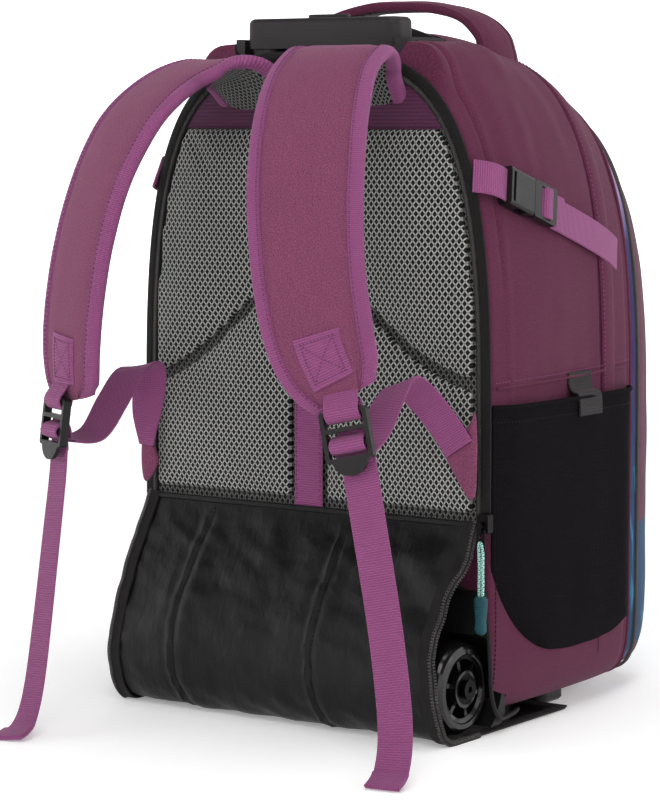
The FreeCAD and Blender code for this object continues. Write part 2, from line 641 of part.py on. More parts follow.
def zip_pull_tab():
    """Pull tab that hangs by its top bar from the slider's arch."""
    rod = cylinder_x(0.7, PULL_X - 3.4, PULL_X + 3.4, PULL_Y, PULL_Z)
    sides = [box(PULL_X + low, PULL_X + low + 1.4, PULL_Y - 0.7, PULL_Y + 0.7, PULL_Z - 6.5, PULL_Z)
             for low in (-3.4, 2.0)]
    plate = rounded_box(PULL_X - 3.4, PULL_X + 3.4, PULL_Y - 0.7, PULL_Y + 0.7, PULL_Z - 15, PULL_Z - 6, 2.5, "y")
    eye = Part.makeCylinder(1.6, 4, V(PULL_X, PULL_Y - 2, PULL_Z - 11.4), V(0, 1, 0))
    return rod.fuse(sides + [plate]).cut(eye).removeSplitter()


def pull_cord():
    """Two cords side by side between the tab and the moulded end, as one flat bar."""
    return rounded_box(PULL_X - 2.6, PULL_X + 2.6, PULL_Y - CORD_R, PULL_Y + CORD_R, GRIP_PULL[0], PULL_Z - 15.2, 1.1)


def pull_grip():
    return rounded_box(PULL_X - 4.4, PULL_X + 4.4, PULL_Y - 3.0, PULL_Y + 3.0, GRIP_PULL[1], GRIP_PULL[0], 2.9)


def housing_screws():
    screws = []
    for sign in (-1, 1):
        for y, z in SCREW_PLACES:
            x0 = HOUSING_X[0]
            shaft = cylinder_x(2.5, x0 - 2.2, x0 + PLATE_T, y, z)
            head = cylinder_x(4.5, x0 + PLATE_T, x0 + PLATE_T + 2, y, z)
            screw = shaft.fuse(head).removeSplitter()
            screws.append(screw if sign > 0 else mirrored(screw))
    return Part.makeCompound(screws)


# ---- nodes ----
def pair(name, shape):
    return {name + "_right": shape, name + "_left": mirrored(shape)}


def nodes():
    made = {
        "main_compartment": main_shell(),
        "front_compartment": front_compartment(),
        "lower_front_pocket": lower_front_pocket(),
        "front_piping": front_piping(),
        "main_zip": main_zip(),
        "frame_board": frame_board(),
        "perimeter_zip": perimeter_zip(),
        "upper_back_pad": upper_back_pad(),
        "lower_back_pad_left": lower_back_pad(-1),
        "lower_back_pad_right": lower_back_pad(1),
        "centre_webbing": centre_webbing(),
        "yoke_band": yoke_band(),
        "shoulder_strap_right": shoulder_strap(STRAP_RIGHT),
        "shoulder_strap_left": shoulder_strap(STRAP_LEFT),
        "anchor_gussets": anchor_gussets(),
        "wheel_cover": wheel_cover(),
        "cover_zips": cover_zips(),
        "base_tray": base_tray(),
        "housing_screws": housing_screws(),
        "front_feet": front_feet(),
        "outer_tubes": tube_pair(OUTER_R, OUTER_Z),
        "middle_tubes": tube_pair(MIDDLE_R, MIDDLE_Z),
        "inner_tubes": tube_pair(INNER_R, INNER_Z),
        "handle_cup": handle_cup(),
        "grip_body": grip_body(),
        "release_button": release_button(),
        "button_spring": button_spring(),
        "grab_handle": grab_handle(),
        "zip_slider": zip_slider(),
        "zip_pull_tab": zip_pull_tab(),
        "pull_cord": pull_cord(),
        "pull_grip": pull_grip(),
    }
    for side in ("left", "right"):
        made["ladder_lock_" + side] = ladder_lock(side)
        made["lower_webbing_" + side] = webbing(LOWER_WEB[side])
        made["strap_tail_" + side] = webbing(TAILS[side])
    made.update(pair("wheel_housing", wheel_housing()))
    made.update(pair("axle", axle()))
    made.update(pair("tyre", tyre()))
    made.update(pair("wheel_hub", wheel_hub()))
    made.update(pair("wheel_bearings", wheel_bearings()))
    made.update(pair("buckle_socket", buckle_place(buckle_socket())))
    made.update(pair("buckle_plug", buckle_place(buckle_plug())))
    made.update(pair("socket_webbing", buckle_place(socket_webbing())))
    made.update(pair("plug_webbing", buckle_place(plug_webbing())))
    made.update(pair("side_pocket", side_pocket()))
    made.update(pair("pocket_tab", pocket_tab()))
    return made


def main():
    os.makedirs(PARTS, exist_ok=True)
    made = nodes()
    for name in sorted(made):
        shape = made[name]
        solids = shape.Solids
        good = bool(solids) and all(s.isValid() and s.Volume > 0 for s in solids)
        print("%-26s solids %d  volume %9.1f  valid %s" % (name, len(solids), shape.Volume, good))
        if len(solids) == 1:
            shape = solids[0]
        shape.exportStep(os.path.join(PARTS, name + ".step"))
    print(len(made), "nodes")


main()
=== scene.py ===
import math

import bmesh
import bpy
import numpy as np
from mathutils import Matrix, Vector, noise


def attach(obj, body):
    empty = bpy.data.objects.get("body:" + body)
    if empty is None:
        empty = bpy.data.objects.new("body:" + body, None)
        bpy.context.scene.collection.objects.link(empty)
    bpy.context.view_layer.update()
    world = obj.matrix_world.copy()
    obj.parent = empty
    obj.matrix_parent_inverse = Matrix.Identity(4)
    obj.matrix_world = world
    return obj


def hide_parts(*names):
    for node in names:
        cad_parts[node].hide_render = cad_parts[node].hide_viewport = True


bl_info = {
    "name": "Wheeled trolley backpack",
    "version": (1, 0, 0),
    "blender": (4, 5, 0),
    "location": "View3D > Sidebar > Backpack",
    "description": "Sews the cloth, padding, webbing and zips of a wheeled backpack round its moulded parts",
    "category": "Object",
}

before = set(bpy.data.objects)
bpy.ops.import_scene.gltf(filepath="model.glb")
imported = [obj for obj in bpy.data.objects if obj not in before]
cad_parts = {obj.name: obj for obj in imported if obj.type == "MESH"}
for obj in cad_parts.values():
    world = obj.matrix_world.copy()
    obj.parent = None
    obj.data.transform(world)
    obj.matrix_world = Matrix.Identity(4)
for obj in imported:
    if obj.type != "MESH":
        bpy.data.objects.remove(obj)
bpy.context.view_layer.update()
MM = 0.001

# sections of the bag: distance y, half width, top height, underside, in millimetres
MAIN_SECTIONS = ((-106, 153, 482, 10), (-70, 156.5, 496, 10), (-20, 158, 498, 10),
                 (30, 157, 489, 10), (65, 155, 476, 10), (92, 152, 463, 10))
FRONT_SECTIONS = ((95, 151, 460, 12), (118, 147, 445, 13), (135, 141, 430, 15),
                  (150, 134, 405, 20), (163, 124, 370, 28))
POCKET_SECTIONS = ((163.8, 116, 268, 36), (171, 110, 262, 44), (176, 96, 248, 58))
WAIST_Z = 180.0
SHOULDER_POWER, CORNER_POWER = 3.5, 12.0
OUTLINE_COUNT = 300
GIRTH = 1580.0
SIDES = (("right", 1), ("left", -1))
BACK_Y, SPLIT_Y = -106.0, 92.0
PANEL_BOTTOM_Z = 154.0
PAD_TOP_Z, YOKE_TOP_Z = 430.0, 462.0
CHANNEL_LINE = ((-160, 236), (-128, 246), (-92, 268), (-52, 300), (0, 330),
                (52, 300), (92, 270), (128, 253), (160, 245))
CHANNEL_GAP = 3.0
GUSSET_PIPING_Y = 108.0

# stations of the straps and webbing: x, y, z, width, then the turn or the width direction
STRAPS = {
    "right": ((47, -105, 446, 72, 0), (48, -119, 463, 75, 0), (50, -131, 476, 80, 0),
              (55, -152, 480, 84, 2), (62, -182, 465, 84, 6), (72, -208, 437, 84, 12),
              (80, -225, 402, 84, 15), (86, -234, 366, 82, 17), (93, -239, 326, 80, 17),
              (103, -241, 289, 78, 15), (114, -239.5, 264, 68, 15), (121, -237, 250, 50, 15)),
    "left": ((-46, -105, 444, 72, 0), (-49, -121, 460, 75, -2), (-54, -133, 470, 80, -6),
             (-66, -147, 471, 84, -16),
             (-81, -168, 461, 86, -20), (-89, -195, 441, 88, -22), (-94, -214, 417, 88, -23),
             (-100, -228, 386, 86, -24), (-107, -236, 348, 85, -24), (-113, -239, 310, 85, -24),
             (-117, -239, 276, 84, -24), (-118, -237, 248, 74, -23), (-116, -235, 236, 54, -23)),
}
LOCKS = {
    "right": ((129.5, -246, 224), (8, -1, -34), (0.966, 0.259, 0.2)),
    "left": ((-127.5, -245, 217), (-2, -4, -36), (0.914, -0.407, 0)),
}
LOWER_WEBS = {
    "right": ((131, -237, 214, 25, 0.97, 0.24, 0), (128, -214, 224, 25, 0.97, 0.24, 0.05),
              (121, -184, 245, 25, 0.96, 0.2, 0.2), (116, -160, 254, 25, 0.9, 0.1, 0.4),
              (120, -139, 240, 25, 0.8, 0, 0.6), (128, -128, 223, 25, 0.775, 0, 0.63),
              (133, -124.5, 214, 25, 0.775, 0, 0.63),
              (138, -123.2, 206, 25, 0.775, 0, 0.63)),
    "left": ((-126, -236, 205, 25, 0.92, -0.39, 0), (-122, -210, 208, 25, 0.9, -0.2, -0.3),
             (-125, -184, 229, 25, 0.9, 0, -0.4), (-128, -160, 249, 25, 0.9, 0.2, 0),
             (-128, -140, 251, 25, 0.85, 0.3, 0.3), (-134, -130, 236, 25, 0.8, 0.3, 0.5),
             (-142, -124, 212, 22, 0.9, 0.2, 0.4), (-144, -121.5, 190, 14, 1, 0, 0.1)),
}
TAILS = {
    "right": ((130, -239.5, 231, 25, 0.97, 0.24, 0), (134, -239.5, 208, 25, 0.97, 0.24, 0),
              (147, -244, 160, 25, 0.97, 0.22, 0), (163, -250, 95, 25, 0.98, 0.2, 0),
              (176, -258, 36, 25, 0.98, 0.2, 0), (180, -268, 9, 25, 0.98, 0.2, 0),
              (183, -283, 1.4, 25, 0.98, 0.2, 0)),
    "left": ((-127, -239, 224, 25, 0.92, -0.39, 0), (-127, -241.5, 196, 25, 0.92, -0.39, 0),
             (-125, -250, 150, 25, 0.93, -0.36, 0), (-124, -261, 92, 25, 0.94, -0.33, 0),
             (-123, -275, 36, 25, 0.95, -0.3, 0), (-121, -289, 9, 25, 0.95, -0.3, 0),
             (-117, -312, 1.4, 25, 0.95, -0.3, 0)),
}
COVER_LINE = ((-113, 154), (-124, 132), (-139, 104), (-154, 72), (-161.5, 45), (-160.5, 25),
              (-154, 10), (-143, 2.4), (-128, 0.6), (-60, 0.6), (8, 0.6))
COVER_X = 146.0
GRAB_Y = 14.0
GRAB_LINE = ((-84, 474, 46), (-81, 485.2, 46), (-76, 497, 44), (-60, 509, 38), (-33, 516.5, 34),
             (0, 518.5, 33), (33, 516.5, 34), (60, 509, 38), (76, 497, 44), (81, 485.2, 46), (84, 474, 46))
POCKET_LINE = ((-108, 160), (-106, 128), (-94, 98), (-70, 70), (-34, 53), (20, 50), (60, 53), (86, 62))
POCKET_TOP_Z = 235.0
BUCKLE_START = (150.5, -84.0, 389.0)
BUCKLE_ALONG = (0.050, 0.947, -0.316)
BUCKLE_OUT = (0.985, 0.0, 0.170)
PULL_X, PULL_Y, PULL_Z = 155.0, -120.5, 150.0
# hollows of the bag: the wheel's x and z from low to high with its depth in y, the cup's x and y with its z
WHEEL_HOLLOW, WHEEL_HOLLOW_Y = (111.3, 151.3, -20, 104.8), (-140, -80.3)
CUP_HOLLOW, CUP_HOLLOW_Z = (-77.7, 77.7, -103.2, -43.3), (443, 540)
# where the printed gusset turns plain, in metres: each step's start and end
PLAIN_FROM_Y, PLAIN_TO_Y = (0.1088, 0.1092), (0.1631, 0.1634)
PLAIN_ABOVE_Z, PLAIN_BELOW_Z = (0.1278, 0.1282), (0.0338, 0.0342)
WEB_T = 1.6


def paint(red, green, blue):
    """A dye's colour from 0-255 numbers, as the linear values that shaders use."""
    return tuple((c / 255 / 12.92) if c <= 10.31 else ((c / 255 + 0.055) / 1.055) ** 2.4
                 for c in (red, green, blue))


# ---------------------------------------------------------------- settings
def length_setting(name, text, value):
    return bpy.props.FloatProperty(name=name, description=text, default=value, min=0.0,
                                   unit="LENGTH", subtype="DISTANCE")


def colour_setting(name, text, red, green, blue):
    return bpy.props.FloatVectorProperty(name=name, description=text, size=3, min=0.0, max=1.0,
                                         default=paint(red, green, blue), subtype="COLOR")


class BagSizes(bpy.types.PropertyGroup):
    seam_depth: length_setting("Seam depth", "How far a sewn seam sinks into padded fabric", 0.0016)
    thread_pitch: length_setting("Thread pitch", "Distance between two threads of the bag fabric", 0.0009)
    rib_pitch: length_setting("Webbing rib pitch", "Distance between two ribs of the webbing", 0.0017)
    mesh_width: length_setting("Mesh hole spacing", "Spacing of the air mesh's holes across the bag", 0.0047)
    mesh_height: length_setting("Mesh row spacing", "Height of two rows of the air mesh's holes", 0.0062)
    tooth_pitch: length_setting("Zip tooth pitch", "Distance between two teeth of a coil zip", 0.0019)
    stitch_pitch: length_setting("Stitch pitch", "Distance between two stitches", 0.0034)
    pad_swell: length_setting("Pad swell", "The most that foam may push the mesh out", 0.0060)


class BagColours(bpy.types.PropertyGroup):
    body: colour_setting("Bag fabric", "Woven fabric of the compartments", 84, 36, 59)
    strap: colour_setting("Strap fabric", "Woven fabric on the faces of the straps", 114, 60, 87)
    webbing: colour_setting("Webbing", "Woven tape and bindings", 140, 73, 120)
    mesh: colour_setting("Air mesh", "Strands of the spacer mesh", 180, 180, 176)
    nylon: colour_setting("Cover nylon", "Coated nylon of the wheel cover", 12, 11, 12)
    stretch: colour_setting("Stretch fabric", "Knitted fabric of the side pockets", 20, 18, 21)
    tape: colour_setting("Zip tape", "Tape and coil of the zips", 22, 19, 20)
    plastic: colour_setting("Moulded plastic", "Grip, buckles, housings", 20, 17, 18)
    teal: colour_setting("Print teal", "Lighter colour of the printed fabric", 20, 60, 92)
    indigo: colour_setting("Print indigo", "Darker colour of the printed fabric", 44, 34, 84)
    lilac: colour_setting("Print lilac", "Pale colour of the printed fabric", 170, 148, 186)
    mint: colour_setting("Pull cord", "Cord of the zip pull", 170, 226, 214)
    rubber: colour_setting("Pull grip", "Moulded end of the zip pull", 28, 70, 78)


# ---------------------------------------------------------------- shader expressions
class Value:
    """A node's output in an expression: numbers go through Math nodes as they are written."""

    def __init__(self, graph, socket):
        self.graph, self.socket = graph, socket

    def _math(self, kind, *others):
        return self.graph.add("ShaderNodeMath", {"operation": kind}, {n: o for n, o in enumerate(others)})

    def __add__(self, other):
        return self._math("ADD", self, other)

    def __sub__(self, other):
        return self._math("SUBTRACT", self, other)

    def __rsub__(self, other):
        return self._math("SUBTRACT", other, self)

    def __mul__(self, other):
        return self._math("MULTIPLY", self, other)

    def __truediv__(self, other):
        return self._math("DIVIDE", self, other)

    def __pow__(self, other):
        return self._math("POWER", self, other)

    __radd__, __rmul__ = __add__, __mul__

    def sin(self):
        return self._math("SINE", self)

    def wave(self, pitch):
        """A sine that comes round once every pitch metres."""
        return (self * (2 * math.pi / pitch)).sin()

    def size(self):
        return self._math("ABSOLUTE", self)

    def at_most(self, other):
        return self._math("MINIMUM", self, other)

    def at_least(self, other):
        return self._math("MAXIMUM", self, other)

    def rise(self, low, high):
        """0 below low and 1 above high, with a smooth step between."""
        return self.graph.add("ShaderNodeMapRange", {"interpolation_type": "SMOOTHSTEP"},
                              {"Value": self, "From Min": low, "From Max": high})


class Graph:
    """The nodes of one material."""

    def __init__(self, name):
        self.material = bpy.data.materials.new(name)
        self.material.use_nodes = True
        self.tree = self.material.node_tree
        self.tree.nodes.clear()

    def add(self, kind, settings=None, inputs=None, output=0):
        node = self.tree.nodes.new(kind)
        for name, value in (settings or {}).items():
            setattr(node, name, value)
        for name, value in (inputs or {}).items():
            if isinstance(value, Value):
                self.tree.links.new(value.socket, node.inputs[name])
            elif isinstance(value, tuple) and len(value) == 3 and node.inputs[name].type == "RGBA":
                node.inputs[name].default_value = (*value, 1.0)
            else:
                node.inputs[name].default_value = value
        return Value(self, node.outputs[output])

    def place(self, cloth):
        """Two or three coordinates: along and across the cloth, or the object's own x, y and z."""
        if cloth:
            vector = self.add("ShaderNodeUVMap", {"uv_map": "cloth"})
        else:
            vector = self.add("ShaderNodeTexCoord", output="Object")
        split = self.tree.nodes.new("ShaderNodeSeparateXYZ")
        self.tree.links.new(vector.socket, split.inputs[0])
        return vector, *(Value(self, s) for s in split.outputs)

    def noise(self, vector, scale, detail=2.0, roughness=0.5, squash=None):
        if squash:
            vector = self.add("ShaderNodeVectorMath", {"operation": "MULTIPLY"}, {0: vector, 1: squash})
        return self.add("ShaderNodeTexNoise", None,
                        {"Vector": vector, "Scale": scale, "Detail": detail, "Roughness": roughness})

    def mix(self, factor, first, second, kind="MIX"):
        return self.add("ShaderNodeMix", {"data_type": "RGBA", "blend_type": kind},
                        {0: factor, 6: first, 7: second}, output=2)

    def shade(self, colour, level):
        """A colour made lighter or darker by a value around 1."""
        grey = self.add("ShaderNodeCombineColor", None, {0: level, 1: level, 2: level})
        return self.mix(1.0, colour, grey, "MULTIPLY")

    def bump(self, height, depth):
        return self.add("ShaderNodeBump", None, {"Height": height, "Distance": depth, "Strength": 1.0})

    def finish(self, colour, roughness, normal=None, **fixed):
        inputs = {"Base Color": colour, "Roughness": roughness}
        if normal is not None:
            inputs["Normal"] = normal
        inputs.update({name.replace("_", " "): value for name, value in fixed.items()})
        surface = self.add("ShaderNodeBsdfPrincipled", None, inputs)
        self.add_output(surface)
        return self.material

    def add_output(self, surface):
        node = self.tree.nodes.new("ShaderNodeOutputMaterial")
        self.tree.links.new(surface.socket, node.inputs["Surface"])


def soft_level(graph, vector, amount, scale=14.0):
    """A value near 1 that drifts over a hand's breadth, as dye and handling leave it."""
    return graph.noise(vector, scale, 3.0) * (2 * amount) + (1 - amount)


def woven(name, colour, pitch, roughness=0.82, sheen=0.08, cloth=True):
    """Twill cloth: fine diagonal threads with a heathered, slightly uneven dye."""
    g = Graph(name)
    depth, contrast = 0.00022, 0.55
    vector, along, across, _ = g.place(cloth)
    twill = (along + across).wave(2 * pitch)
    threads = (along.wave(pitch) * across.wave(pitch)) * 0.3 + twill * 0.35 + 0.5
    grain = g.noise(vector, 900.0, 3.0, 0.7)
    slub = g.noise(vector, 320.0, 2.0, 0.6, (0.25, 1.0, 1.0))
    fleck = g.noise(vector, 1300.0, 1.0, 0.5)
    level = (threads * 0.3 + (grain - 0.5) * 3.4 + (fleck - 0.5) * 2.6 + slub * 0.4) * contrast
    level = level + (1 - contrast * 0.35)
    tint = g.shade(tuple(colour), level * soft_level(g, vector, 0.07))
    rough = grain * 0.12 + (roughness - 0.06)
    return g.finish(tint, rough, g.bump(threads * 0.7 + grain * 0.6, depth),
                    Sheen_Weight=sheen, Sheen_Roughness=0.4, Sheen_Tint=(1.0, 0.72, 0.86, 1.0),
                    Specular_IOR_Level=0.14)


def webbing_finish(name, colour, pitch):
    """Woven tape: ribs across it and fine warp lines along it."""
    g = Graph(name)
    vector, along, across, _ = g.place(True)
    thread = 0.0021
    rib = along.wave(pitch) * 0.5 + 0.5
    warp = across.wave(thread) * 0.5 + 0.5
    step = along.wave(2 * pitch) * across.wave(2 * thread)
    weave = rib * 0.6 + (rib * warp) * 0.25 + step * 0.08
    grain = g.noise(vector, 1400.0, 2.0, 0.7)
    level = (weave * 0.52 + grain * 0.24 + 0.56) * soft_level(g, vector, 0.05, 22.0)
    tint = g.shade(tuple(colour), level)
    return g.finish(tint, grain * 0.1 + 0.62, g.bump(weave + grain * 0.25, 0.0005),
                    Sheen_Weight=0.1, Sheen_Roughness=0.4, Sheen_Tint=(1.0, 0.75, 0.92, 1.0),
                    Specular_IOR_Level=0.2)


def air_mesh(name, colour, width, height, dark, flat):
    """Spacer mesh: a net of slanted strands round staggered holes that show the dark layer behind."""
    g = Graph(name)
    vector, a, b, c = g.place(not flat)
    across, up = (a, c) if flat else (b, a)
    wobble = g.noise(vector, 55.0, 1.0) * 0.28
    first = ((across / width + up / height + wobble) * math.pi).sin().size()
    second = ((across / width - up / height + wobble) * math.pi).sin().size()
    hole = (first * second).rise(0.22, 0.46)
    strand = (first.at_least(second) * 0.8 + 0.2)
    fibre = g.noise(vector, 1500.0, 2.0, 0.6)
    level = ((1 - first.at_most(second)) * 0.45 + fibre * 0.5 + 0.36) * soft_level(g, vector, 0.1, 18.0)
    net = g.shade(tuple(colour), level * strand)
    tint = g.mix(hole, net, dark)
    return g.finish(tint, 0.78 - hole * 0.1, g.bump((1 - hole) + fibre * 0.15, 0.0013),
                    Sheen_Weight=0.04, Sheen_Roughness=0.5, Specular_IOR_Level=0.2)


def coated_nylon(name, colour):
    """Thin coated cloth: fine weave, satin shine, small creases."""
    g = Graph(name)
    vector, along, across, _ = g.place(True)
    thread = 0.0008
    weave = along.wave(thread) * across.wave(thread)
    crease = g.noise(vector, 26.0, 5.0, 0.62, (0.45, 1.0, 1.0))
    fine = g.noise(vector, 110.0, 4.0, 0.6)
    tint = g.shade(tuple(colour), (weave * 0.12 + fine * 0.3 + 0.72) * soft_level(g, vector, 0.12, 9.0))
    bump = g.bump(crease * 4.5 + fine * 0.9 + weave * 0.06, 0.0006)
    return g.finish(tint, fine * 0.12 + 0.3, bump, Specular_IOR_Level=0.19)


def knit(name, colour):
    """Matte stretch knit with faint upright ribs."""
    g = Graph(name)
    vector, _, y, z = g.place(False)
    rib = y.wave(0.0022) * 0.5 + 0.5
    loop = z.wave(0.0016) * 0.5 + 0.5
    grain = g.noise(vector, 700.0, 3.0, 0.7)
    tint = g.shade(tuple(colour), rib * 0.16 + loop * rib * 0.14 + grain * 0.5 + 0.62)
    return g.finish(tint, grain * 0.08 + 0.86, g.bump(rib * loop + grain * 0.5, 0.0003),
                    Specular_IOR_Level=0.03)


def tape_finish(name, colour):
    """Zip tape: fine herringbone cloth."""
    g = Graph(name)
    vector, along, across, _ = g.place(True)
    bone = (along + across.wave(0.006).size() * 0.002).wave(0.0011)
    grain = g.noise(vector, 900.0, 2.0, 0.7)
    tint = g.shade(tuple(colour), bone * 0.18 + grain * 0.5 + 0.72)
    return g.finish(tint, grain * 0.1 + 0.66, g.bump(bone * 0.5 + grain * 0.5, 0.0003),
                    Sheen_Weight=0.02, Specular_IOR_Level=0.2)


def printed(name, teal, indigo, lilac, edge):
    """Printed cloth: loose brushed patches of teal, indigo and lilac, with plain cloth above and below."""
    g = Graph(name)
    vector, _, y, z = g.place(False)
    drift = g.noise(vector, 16.0, 4.0, 0.6, (1.0, 1.0, 0.45))
    brush = g.noise(vector, 46.0, 5.0, 0.65, (1.0, 1.0, 0.28))
    warp = g.add("ShaderNodeVectorMath", {"operation": "MULTIPLY_ADD"},
                 {0: g.add("ShaderNodeTexNoise", None, {"Vector": vector, "Scale": 22.0}, output=1),
                  1: (0.03, 0.03, 0.03), 2: vector})
    curl = (g.noise(warp, 26.0, 1.0, 0.4, (1.0, 1.0, 0.6)) - 0.5).size()
    low = (z * -5.2 + 1.85 + drift * 0.7).rise(0.75, 1.45)
    high = (z * 6.5 - 1.75 + drift * 0.9 - brush * 0.5).rise(0.55, 1.0)
    base = g.mix(low, tuple(indigo), tuple(teal))
    base = g.mix((brush - 0.5).rise(0.02, 0.1) * 0.55, base, paint(38, 60, 112))
    base = g.mix(high * 0.8, base, tuple(lilac))
    strokes = (1 - curl.rise(0.008, 0.03)) * brush.rise(0.42, 0.58)
    tint = g.mix(strokes * low * 0.8, base, paint(52, 128, 158))
    grain = g.noise(vector, 900.0, 2.0, 0.7)
    plain = y.rise(*PLAIN_FROM_Y) * (1 - y.rise(*PLAIN_TO_Y))
    plain = plain * z.rise(*PLAIN_ABOVE_Z).at_least(1 - z.rise(*PLAIN_BELOW_Z))
    tint = g.mix(plain, tint, tuple(edge))
    tint = g.shade(tint, (grain - 0.5) * 1.2 + 1.0)
    return g.finish(tint, grain * 0.1 + 0.72, g.bump(grain, 0.0002), Sheen_Weight=0.05,
                    Specular_IOR_Level=0.15)


def moulded(name, colour, roughness=0.42, grain_depth=0.00012, scale=1500.0, **more):
    """Injection-moulded part: fine spark-eroded grain, slightly rubbed."""
    g = Graph(name)
    vector, *_ = g.place(False)
    grain = g.noise(vector, scale, 3.0, 0.65)
    rub = g.noise(vector, 36.0, 4.0, 0.6)
    tint = g.shade(tuple(colour), grain * 0.18 + rub * 0.22 + 0.8)
    return g.finish(tint, rub * 0.14 + grain * 0.08 + (roughness - 0.1), g.bump(grain, grain_depth),
                    Specular_IOR_Level=0.26, **more)


def metal(name, colour, roughness, brushed=(1.0, 1.0, 0.03)):
    """Bare metal: lines brushed along z, with a little wear."""
    g = Graph(name)
    vector, *_ = g.place(False)
    lines = g.noise(vector, 900.0, 3.0, 0.6, brushed)
    wear = g.noise(vector, 60.0, 4.0, 0.6)
    tint = g.shade(tuple(colour), lines * 0.12 + wear * 0.12 + 0.88)
    rough = lines * 0.12 + wear * 0.1 + (roughness - 0.1)
    return g.finish(tint, rough, g.bump(lines, 0.00006), Metallic=1.0)


def braided(name, colour, fleck):
    """Round cord: slanted braid with dark flecks."""
    g = Graph(name)
    _, x, y, z = g.place(False)
    turn = 2 * math.pi / 0.0021
    braid = (z * turn + x * 2600.0).sin()
    cross = (z * turn - x * 2600.0 + y * 900.0).sin()
    marks = ((z * (2 * math.pi / 0.0064) + x * 1500.0).sin() * cross).rise(0.42, 0.62)
    tint = g.mix(marks, g.shade(tuple(colour), braid * 0.16 + 0.86), fleck)
    return g.finish(tint, 0.62, g.bump(braid * 0.5 + cross * 0.5, 0.0004), Specular_IOR_Level=0.35)


FINISHES = {}


def make_finishes(sizes, colours):
    if FINISHES:
        return FINISHES
    dark = paint(16, 17, 18)
    FINISHES.update(
        body=woven("bag fabric", colours.body, sizes.thread_pitch),
        strap=woven("strap fabric", colours.strap, sizes.thread_pitch, sheen=0.14),
        handle=woven("handle fabric", colours.body, sizes.thread_pitch),
        webbing=webbing_finish("purple webbing", colours.webbing, sizes.rib_pitch),
        binding=webbing_finish("strap binding", colours.webbing, sizes.rib_pitch * 0.8),
        yoke=webbing_finish("yoke band", tuple(c * 0.34 for c in colours.webbing), sizes.rib_pitch * 1.6),
        mesh=air_mesh("air mesh", colours.mesh, sizes.mesh_width, sizes.mesh_height, dark, True),
        lining_mesh=air_mesh("strap mesh", tuple(c * 0.55 for c in colours.mesh), sizes.mesh_width,
                             sizes.mesh_height, dark, False),
        nylon=coated_nylon("cover nylon", colours.nylon),
        stretch=knit("stretch knit", colours.stretch),
        tape=tape_finish("zip tape", colours.tape),
        # The coil's grey, lighter than the black tape, is partly its own dark colour and partly painted
        # highlight for the light beads along it.
        coil=moulded("zip coil", paint(62, 60, 59), 0.25, 0.00003),
        black_web=webbing_finish("black webbing", paint(38, 35, 36), sizes.rib_pitch),
        lining=woven("black lining", paint(24, 22, 23), 0.001, roughness=0.8, sheen=0.1, cloth=False),
        print=printed("printed fabric", colours.teal, colours.indigo, colours.lilac, colours.body),
        piping=tape_finish("grey piping", paint(88, 82, 78)),
        black_piping=tape_finish("black piping", paint(34, 31, 32)),
        plastic=moulded("black plastic", colours.plastic, 0.4),
        grip=moulded("grip plastic", paint(34, 29, 32), 0.5, 0.0002, 900.0),
        hub=moulded("hub plastic", paint(12, 12, 13), 0.2, 0.00003, Coat_Weight=0.25, Coat_Roughness=0.08),
        housing=moulded("housing plastic", paint(12, 11, 12), 0.5, 0.0002, 1100.0),
        tyre=moulded("tyre", paint(11, 10, 11), 0.22, 0.00005, Coat_Weight=0.4, Coat_Roughness=0.08),
        steel=metal("steel", paint(168, 168, 172), 0.32),
        tube=metal("tube aluminium", paint(186, 187, 190), 0.34),
        # The channel mesh is the air mesh darkened to 0.4 of its colour: painted shade for the channels
        # between the pads.
        lining_cloth=air_mesh("shaded channel mesh", tuple(c * 0.4 for c in colours.mesh), sizes.mesh_width,
                              sizes.mesh_height, dark, True),
        board=moulded("board", paint(60, 58, 56), 0.6),
        zip_metal=metal("zip metal", paint(24, 22, 23), 0.42, (1.0, 1.0, 1.0)),
        cord=braided("mint cord", colours.mint, paint(30, 44, 44)),
        rubber=moulded("teal rubber", colours.rubber, 0.6, 0.0001, 700.0),
        thread=moulded("purple thread", paint(118, 62, 96), 0.7, 0.0001),
        dark_thread=moulded("dark thread", paint(40, 22, 34), 0.7, 0.0001),
        web_thread=moulded("webbing thread", paint(104, 50, 90), 0.7, 0.0001),
    )
    return FINISHES


# ---------------------------------------------------------------- mesh helpers
def put(name, data):
    """An object of that mesh, curve, light or camera in the scene."""
    obj = bpy.data.objects.new(name, data)
    bpy.context.scene.collection.objects.link(obj)
    return obj


def add_piece(name, verts, faces, finishes, face_finish=None, uvs=None, angle=40.0, body="bag",
              slot=None, replaces=()):
    """A mesh object from points in millimetres. uvs holds one (along, across) pair in metres per corner."""
    mesh = bpy.data.meshes.new(name)
    mesh.from_pydata((np.asarray(verts, float) * MM).tolist(), [], [list(map(int, f)) for f in faces])
    if uvs is not None:
        layer = mesh.uv_layers.new(name="cloth")
        layer.data.foreach_set("uv", np.asarray(uvs, np.float32).ravel())
    for finish in finishes:
        mesh.materials.append(FINISHES[finish])
    if face_finish is not None:
        mesh.polygons.foreach_set("material_index", np.asarray(face_finish, np.int32))
    mesh.validate()
    obj = put(name, mesh)
    work = bmesh.new()
    work.from_mesh(mesh)
    bmesh.ops.recalc_face_normals(work, faces=work.faces)
    work.to_mesh(mesh)
    work.free()
    soften(obj, angle)
    settle(obj, body, slot, replaces)
    return obj


def soften(obj, angle):
    obj.data.shade_smooth()
    obj.data.set_sharp_from_angle(angle=math.radians(angle))


def settle(obj, body, slot, replaces=()):
    if body:
        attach(obj, body)
    if replaces:
        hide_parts(*replaces)


def apply_modifiers(obj):
    """Replaces the object's mesh with what its modifiers make of it."""
    graph = bpy.context.evaluated_depsgraph_get()
    made = bpy.data.meshes.new_from_object(obj.evaluated_get(graph), preserve_all_data_layers=True,
                                           depsgraph=graph)
    old = obj.data
    obj.modifiers.clear()
    obj.data = made
    bpy.data.meshes.remove(old)


